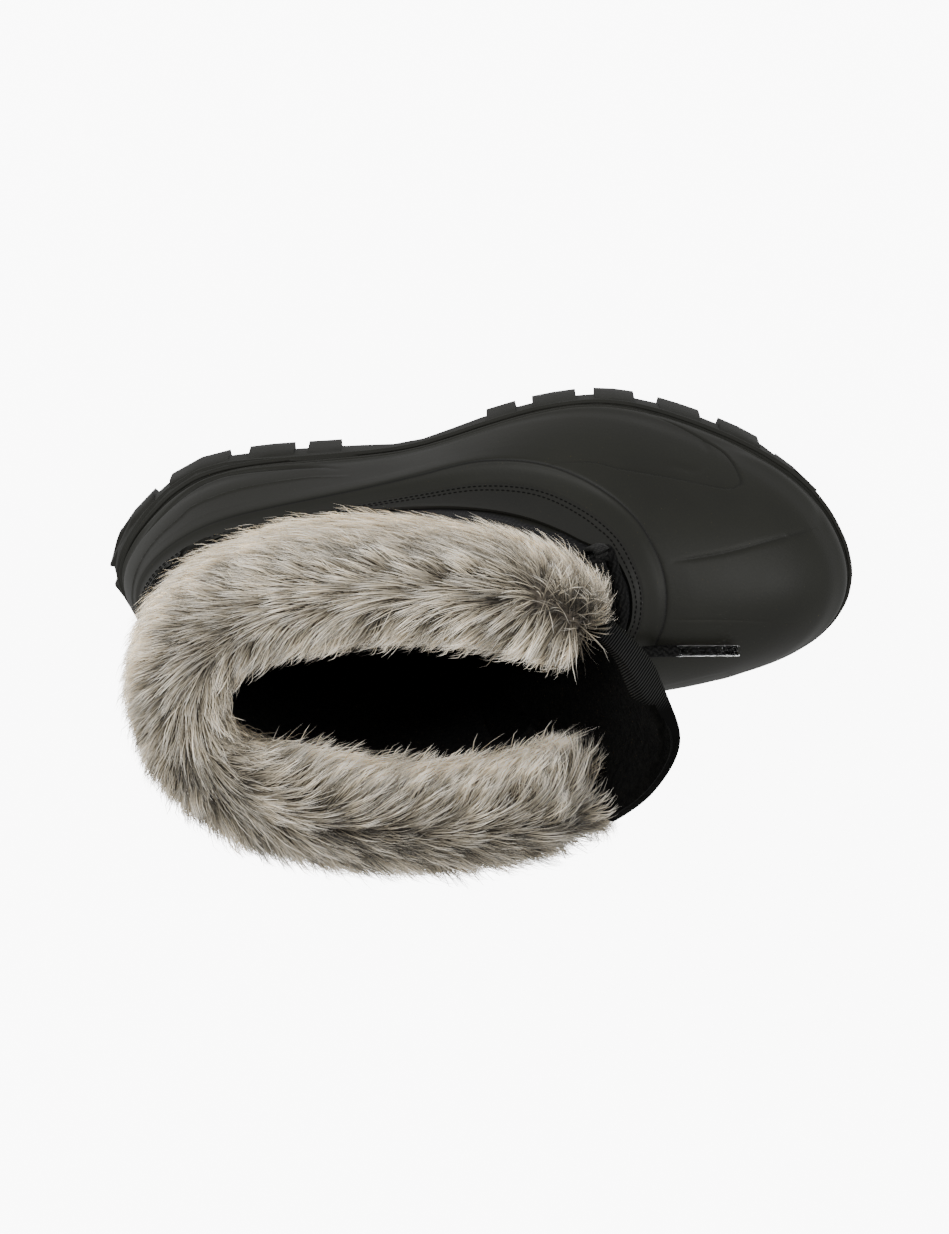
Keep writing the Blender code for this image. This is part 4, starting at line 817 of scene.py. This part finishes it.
tongue_form, tape_form = solid_form("tongue"), solid_form("tongue_binding")
settle_tongue(tape_form)
settle_tongue(tongue_form)
tape_face = BVHTree.FromBMesh(tape_form)
for face in tape_form.faces:  # the fleece comes up to the edge along the inner half
    bare_from = 4 if face.normal.dot(FLAP_ABOVE) > 0.6 else -3
    face.material_index = 1 if face.calc_center_median().y / MM + BOOT_MIDDLE[1] < bare_from else 0
tongue_form.normal_update()
for vert, normal in [(v, v.normal.copy()) for v in tongue_form.verts]:
    inner_side = np.clip((6 - vert.co.y / MM - BOOT_MIDDLE[1]) / 10, 0, 1)
    by_tape = tape_face.find_nearest(vert.co)[3] < 2.0 * MM
    if by_tape and normal.dot(FLAP_ABOVE) > 0.2:  # it swells over the tape
        vert.co += (normal * (0.2 + 2.2 * inner_side) + FLAP_FRONT * 1.8 * inner_side) * MM
for face in tongue_form.faces:
    middle = face.calc_center_median()
    back = Vector((-1, 0, np.interp(middle.z, (0.11, 0.15, 0.19, 0.225), (-0.5, 0.0, 0.5, 0.75))))
    upper_edge = middle.z > FLAP_LOW and middle.y < 0.008 and face.normal.dot(FLAP_FRONT) > 0.4
    faces_back = face.normal.dot(back) > (0 if middle.z > FLAP_LOW else 0.3)
    face.material_index = 1 if faces_back or upper_edge else 0
tongue_face = BVHTree.FromBMesh(tongue_form)
tongue = add_piece("tongue_padding", tongue_form, [nylon, plush], "tongue_fleece", "tongue", levels=2)

GUSSET = [  # at each height: the tongue's edge and the shaft's inner face, lateral side
    (100, (169, 15.6), (160, 20.0)), (117, (157, 17.0), (151, 21.5)), (136, (152, 16.6), (145, 23.0)),
    (166, (155.5, 14.2), (147, 24.5)), (195, (166, 18.7), (151, 31.5)), (210, (177, 22.5), (160, 35.0)),
    (224, (185, 27.0), (168, 38.0)),
]  # fmt: skip
for side, name in ((1, "lateral"), (-1, "medial")):
    rows = []
    for height, tongue_edge, shaft in GUSSET:
        one, other = np.array((*tongue_edge, height)), np.array((*shaft, height))
        rows.append([one, one * 0.7 + other * 0.3 - (3, 0, 0), one * 0.3 + other * 0.7 - (4, 0, 0), other])
    rows = np.array(rows) * (1, side, 1)
    gusset_form = laid_sheet(on_boot(rows))
    bmesh.ops.solidify(gusset_form, geom=gusset_form.faces, thickness=1.2 * MM)
    add_piece(f"gusset_{name}", gusset_form, plush, "tongue_fleece", levels=2)

twill = new_material("twill binding tape", (0.012, 0.012, 0.011), 0.85, Specular_IOR_Level=0.1)
rib_sockets = {"Vector": laid_place(twill, turn=0.7), "Scale": 400.0, "Distortion": 0.5}
ribs = add_node(twill, "TexWave", rib_sockets, bands_direction="X")
toward = add_node(twill, "SeparateXYZ", {"Vector": laid_place(twill)}).outputs["Y"]
bare_from = {"From Min": -0.003, "From Max": 0.008}  # pile lies over it on the inner half
bare = add_node(twill, "MapRange", {"Value": toward, **bare_from})
ribs = calculate(twill, "MULTIPLY", ribs.outputs["Fac"], bare.outputs["Result"])
tint(twill, ribs, (0.0014, 0.0014, 0.0012), (0.038, 0.038, 0.036))
raise_surface(twill, ribs, 0.0004)
add_piece("tongue_binding_tape", tape_form, [twill, plush], "webbing", "tongue_binding", levels=2)


# ---------------------------------------------------------------- fur cuff
# A deep saddle of long grey faux fur, sewn over the collar. Its hair lies back round the collar from the
# outer front to the inner front, parted along the top of the roll, in soft pointed locks over a brown
# underfur.

FUR_MIDDLE, FUR_REACH, FUR_POWER = (123.5, 0.0), (76.5, 43.0), 2.3  # the oval that the hair parts along
FUR_INSIDE, FUR_INSIDE_BACK, FUR_OUTSIDE = 18.0, 11.0, 20.0  # mm from the parting to where tips turn in
FUR_OUTSIDE_AT, FUR_OUTSIDE_LESS = (45, 75, 125, 160), (-1.2, 6.0, 10, 13)  # nearer along the outer side
FUR_FRONT, FUR_FOOT = (187.5, 186.5), 186.0  # the cuff's front, outer and inner side, and its lower edge
FUR_CORNERS = [((66, -32), 20, 16.0), ((190, 27), 15, -6.0)]  # place, size, and mm deeper into the opening
TURNED_IN, TURNED_UP, TURNED_BACK = 0.72, 0.7, 0.5  # shares by which tips past the outline come back
WHORLS = [  # short partings the hair runs out from: start, end, width of the heart and of the rim round it
    ((150, 45, 238), (173, 31, 238), 3.0, 20.0), ((158, -41, 237), (172, -38, 236), 3.0, 14.0),
]  # fmt: skip
HAIRS, LOCKS, HAIR_POINTS = 39000, 2100, 4
COATS = [(8, 13, 0.15), (14, 20, 0.0), (15, 23, 0.0)]  # shortest and longest hair, and how much darker
turns = np.linspace(0, 2 * math.pi, 720, endpoint=False)
parting = np.stack([
    FUR_MIDDLE[0] + FUR_REACH[0] * np.sign(np.cos(turns)) * np.abs(np.cos(turns)) ** (2 / FUR_POWER),
    FUR_MIDDLE[1] + FUR_REACH[1] * np.sign(np.sin(turns)) * np.abs(np.sin(turns)) ** (2 / FUR_POWER),
], axis=1)  # fmt: skip
parting_way = unit(np.roll(parting, -1, axis=0) - np.roll(parting, 1, axis=0))
parting_out = np.stack([parting_way[:, 1], -parting_way[:, 0]], axis=1)


def on_parting(places):
    return np.array([np.argmin(((parting - p[:2]) ** 2).sum(axis=1)) for p in places])


def fur_lie(places, facing, nearest):
    """The way the hair lies at places (in mm) whose surface faces that way."""
    back = np.concatenate([parting_way[nearest], np.zeros((len(places), 1))], axis=1)
    away = np.concatenate([places[:, :2] - parting[nearest], np.zeros((len(places), 1))], axis=1)
    apart = np.clip(np.linalg.norm(away, axis=1, keepdims=True) / 10, 0, 1)
    lie = back * (0.85 - 0.35 * apart) + unit(away) * apart * 1.1
    for start, end, heart, rim in WHORLS:  # strongest at their front ends
        run = np.subtract(end, start)
        share = np.clip(((places - start) * run).sum(axis=1, keepdims=True) / (run**2).sum(), 0, 1)
        spread = (places - start - share * run) * (1, 1, 0.5)
        reach = np.linalg.norm(spread, axis=1, keepdims=True)
        blend = np.maximum(np.clip((reach - heart) / rim, 0, 1), 1 - share * 1.3)
        lie = lie * blend + unit(spread) * (1 - blend)
    lie[:, 2] -= 0.15
    lie -= facing * (lie * facing).sum(axis=1, keepdims=True)
    return unit(lie)


def kept_in(points, nearest, slack):
    """Turns in the tips (in mm) that would stand out past the cuff's round outline or into its opening."""
    out = parting_out[nearest]
    reach = ((points[:, :2] - parting[nearest]) * out).sum(axis=1)
    at_back = np.clip((95 - parting[nearest, 0]) / 45, 0, 1)
    inside = FUR_INSIDE + (FUR_INSIDE_BACK - FUR_INSIDE) * at_back + slack
    for corner, size, deeper in FUR_CORNERS:
        inside += deeper * np.exp(-(((parting[nearest] - corner) ** 2).sum(axis=1)) / size**2)
    less = np.interp(parting[nearest, 0], FUR_OUTSIDE_AT, FUR_OUTSIDE_LESS) * (parting[nearest, 1] > 0)
    outside = FUR_OUTSIDE - less + slack
    over = np.where(reach > outside, reach - outside, np.where(reach < -inside, reach + inside, 0))
    points[:, :2] -= out * (over * TURNED_IN)[:, None]
    points[:, 2] += np.clip(FUR_FOOT + slack - points[:, 2], 0, None) * TURNED_UP
    front = np.where(points[:, 1] > 0, *FUR_FRONT) + slack
    points[:, 0] -= np.clip(points[:, 0] - front, 0, None) * TURNED_BACK
    return points


underfur = new_material("brown underfur", (0.10, 0.085, 0.07), 0.95, Sheen_Weight=0.2)
cuff_form = solid_form("fur_cuff")
all_ways = {"use_axis_x": True, "use_axis_y": True, "use_axis_z": True}
for _ in range(3):
    bmesh.ops.smooth_vert(cuff_form, verts=cuff_form.verts, factor=0.5, **all_ways)
cuff_form.normal_update()
backing = np.array([vert.co - vert.normal * 3.2 * MM for vert in cuff_form.verts]) / MM + BOOT_MIDDLE
for vert, place in zip(cuff_form.verts, kept_in(backing, on_parting(backing), -2.0)):
    vert.co = on_boot(place)
wool = noise(underfur, laid_place(underfur), 300.0)
tint(underfur, wool, (0.07, 0.058, 0.044), (0.15, 0.125, 0.095))
roll = add_piece("fur_backing", cuff_form, underfur, "fur", "fur_cuff", levels=1)

fur_tone = new_material("grey faux fur", (0.35, 0.33, 0.29), 0.55, Specular_IOR_Level=0.3, Sheen_Weight=0.1)
hair_place = add_node(fur_tone, "SeparateXYZ", {"Vector": laid_place(fur_tone, of="UV")})
shade = add_node(fur_tone, "ValToRGB", {"Fac": hair_place.outputs["Y"]})
shade.color_ramp.elements[0].position, shade.color_ramp.elements[0].color = 0.0, (0.026, 0.019, 0.012, 1)
shade.color_ramp.elements[1].position, shade.color_ramp.elements[1].color = 1.0, (1.0, 0.95, 0.85, 1)
middle_tone = shade.color_ramp.elements.new(0.55)
middle_tone.color = (0.44, 0.385, 0.29, 1)
varied = add_node(fur_tone, "HueSaturation", {"Color": shade.outputs["Color"], "Saturation": 1.0})
# The tone varies from lock to lock, as real fur does. Its top end lifts the colour up to three times,
# above what a surface can reflect: painted light, standing in for light shining through the hair.
tone_sockets = {"Value": hair_place.outputs["X"], "To Min": 0.14, "To Max": 3.0}
toned = add_node(fur_tone, "MapRange", tone_sockets)
fur_tone.node_tree.links.new(toned.outputs["Result"], varied.inputs["Value"])
feed(fur_tone, "Base Color", varied.outputs["Color"])

seeded = np.random.default_rng(11)
roll.data.calc_loop_triangles()
corners = np.array([[roll.data.vertices[v].co for v in tri.vertices] for tri in roll.data.loop_triangles])
facings = np.cross(corners[:, 1] - corners[:, 0], corners[:, 2] - corners[:, 0])
sizes = np.linalg.norm(facings, axis=1)
facings = unit(facings)
sizes[corners.mean(axis=1)[:, 2] < 0.150] *= 0.3
for batch, (shortest, longest, darker) in enumerate(COATS):
    pick = seeded.choice(len(corners), size=HAIRS, p=sizes / sizes.sum())
    one, two = seeded.random((2, HAIRS, 1))
    fold = one + two > 1
    one, two = np.where(fold, 1 - one, one), np.where(fold, 1 - two, two)
    start, beside, above = np.swapaxes(corners[pick], 0, 1)
    roots = (start + one * (beside - start) + two * (above - start)) / MM + BOOT_MIDDLE
    facing = facings[pick]
    nearest = on_parting(roots)
    lie = fur_lie(roots, facing, nearest)
    length = seeded.uniform(shortest, longest, (HAIRS, 1))
    length = length * np.where(seeded.random((HAIRS, 1)) < 0.05, 1.3, 1)
    loose = np.where(seeded.random((HAIRS, 1)) < 0.1, 0.4, 0.13)
    way = lie + facing * seeded.uniform(0.12, 0.45, (HAIRS, 1))
    way = unit(way + seeded.normal(0, 1, (HAIRS, 3)) * loose)
    lock_spots = roots[seeded.choice(HAIRS, LOCKS, replace=False)]
    tree = tree_of(lock_spots)
    lock = np.array([tree.find(r)[1] for r in roots])
    lock_lie = np.zeros((LOCKS, 3))
    np.add.at(lock_lie, lock, way)
    members = np.bincount(lock, minlength=LOCKS)[:, None]
    lock_lie = unit(lock_lie / np.maximum(members, 1) + seeded.normal(0, 0.13, (LOCKS, 3)))
    lock_tip = lock_spots + lock_lie * seeded.uniform(shortest, longest, (LOCKS, 1))
    pulled = np.where(seeded.random((HAIRS, 1)) < 0.15, 0.15, seeded.uniform(0.4, 0.8, (HAIRS, 1)))
    ends = roots + way * length
    ends = ends * (1 - pulled) + (lock_tip[lock] + seeded.normal(0, 0.8, (HAIRS, 3))) * pulled
    slack = np.abs(seeded.normal(0, 2.5, HAIRS)) - 1.0
    spine = []
    for share in np.linspace(0, 1, HAIR_POINTS):
        bowed = facing * 4 * share * (1 - share) * 2.0 + np.array((0, 0, -1.6)) * share**2
        spine.append(on_boot(kept_in(roots + (ends - roots) * share + bowed, nearest, slack)))
    whole = np.ones((HAIRS, 1))
    by_tongue = (roots[:, 0] > 150) & (np.abs(roots[:, 1]) < 45)
    for i in np.flatnonzero(by_tongue):  # what would grow through the tongue is short
        run = Vector(spine[3][i] - spine[0][i])
        met = tongue_face.ray_cast(Vector(spine[0][i]), run.normalized(), run.length)[3]
        whole[i] = max(0.05, met / run.length * 0.85) if met else 1
    spine = [spine[0] + (row - spine[0]) * whole for row in spine]
    across = unit(unit(np.cross(ends - roots, facing)) + seeded.normal(0, 0.4, (HAIRS, 3)))
    width = seeded.uniform(0.07, 0.17, (HAIRS, 1)) * MM
    rows = []
    for level, slim in enumerate((1.0, 1.0, 0.7)):
        rows += [spine[level] - across * width * slim, spine[level] + across * width * slim]
    points = np.stack(rows + [spine[3]], axis=1)
    first = np.arange(HAIRS)[:, None] * 7
    loops = np.concatenate([first + np.array(c) for c in ((0, 1, 3, 2), (2, 3, 5, 4), (4, 5, 6))], axis=1)
    mesh = bpy.data.meshes.new(f"fur_hair_{batch + 1}")
    mesh.vertices.add(HAIRS * 7)
    mesh.vertices.foreach_set("co", points.ravel())
    mesh.loops.add(HAIRS * 11)
    mesh.loops.foreach_set("vertex_index", loops.ravel().astype(np.int32))
    mesh.polygons.add(HAIRS * 3)
    starts = (np.arange(HAIRS)[:, None] * 11 + np.array((0, 4, 8))).ravel()
    mesh.polygons.foreach_set("loop_start", starts.astype(np.int32))
    aside, below = np.linalg.norm(roots[:, :2] - parting[nearest], axis=1), roots[:, 2].max() - roots[:, 2]
    from_parting = np.clip(np.hypot(aside / 18, below / 45), 0, 1) ** 1.5
    inner_side = np.clip((6 - roots[:, 1]) / 20, 0, 1)
    tone = seeded.random(LOCKS)[lock] * 0.75 + seeded.random(HAIRS) * 0.55
    # Hair on the inner side is painted darker: painted shade for the side turned away from the key light.
    tone = tone + from_parting * 0.47 - 0.27 - inner_side * 0.12 - darker
    down = np.array((0, 0, 1, 1, 2, 2, 3)) / 3
    uv = np.stack([np.repeat(np.clip(tone, 0, 1)[:, None], 11, axis=1), down[loops - first]], axis=2)
    mesh.uv_layers.new(name="UVMap").data.foreach_set("uv", uv.ravel())
    mesh.update(calc_edges=True)
    add_piece(f"fur_hair_{batch + 1}", mesh, fur_tone, "fur")


# ---------------------------------------------------------------- the scene brought up to date

bpy.context.view_layer.update()
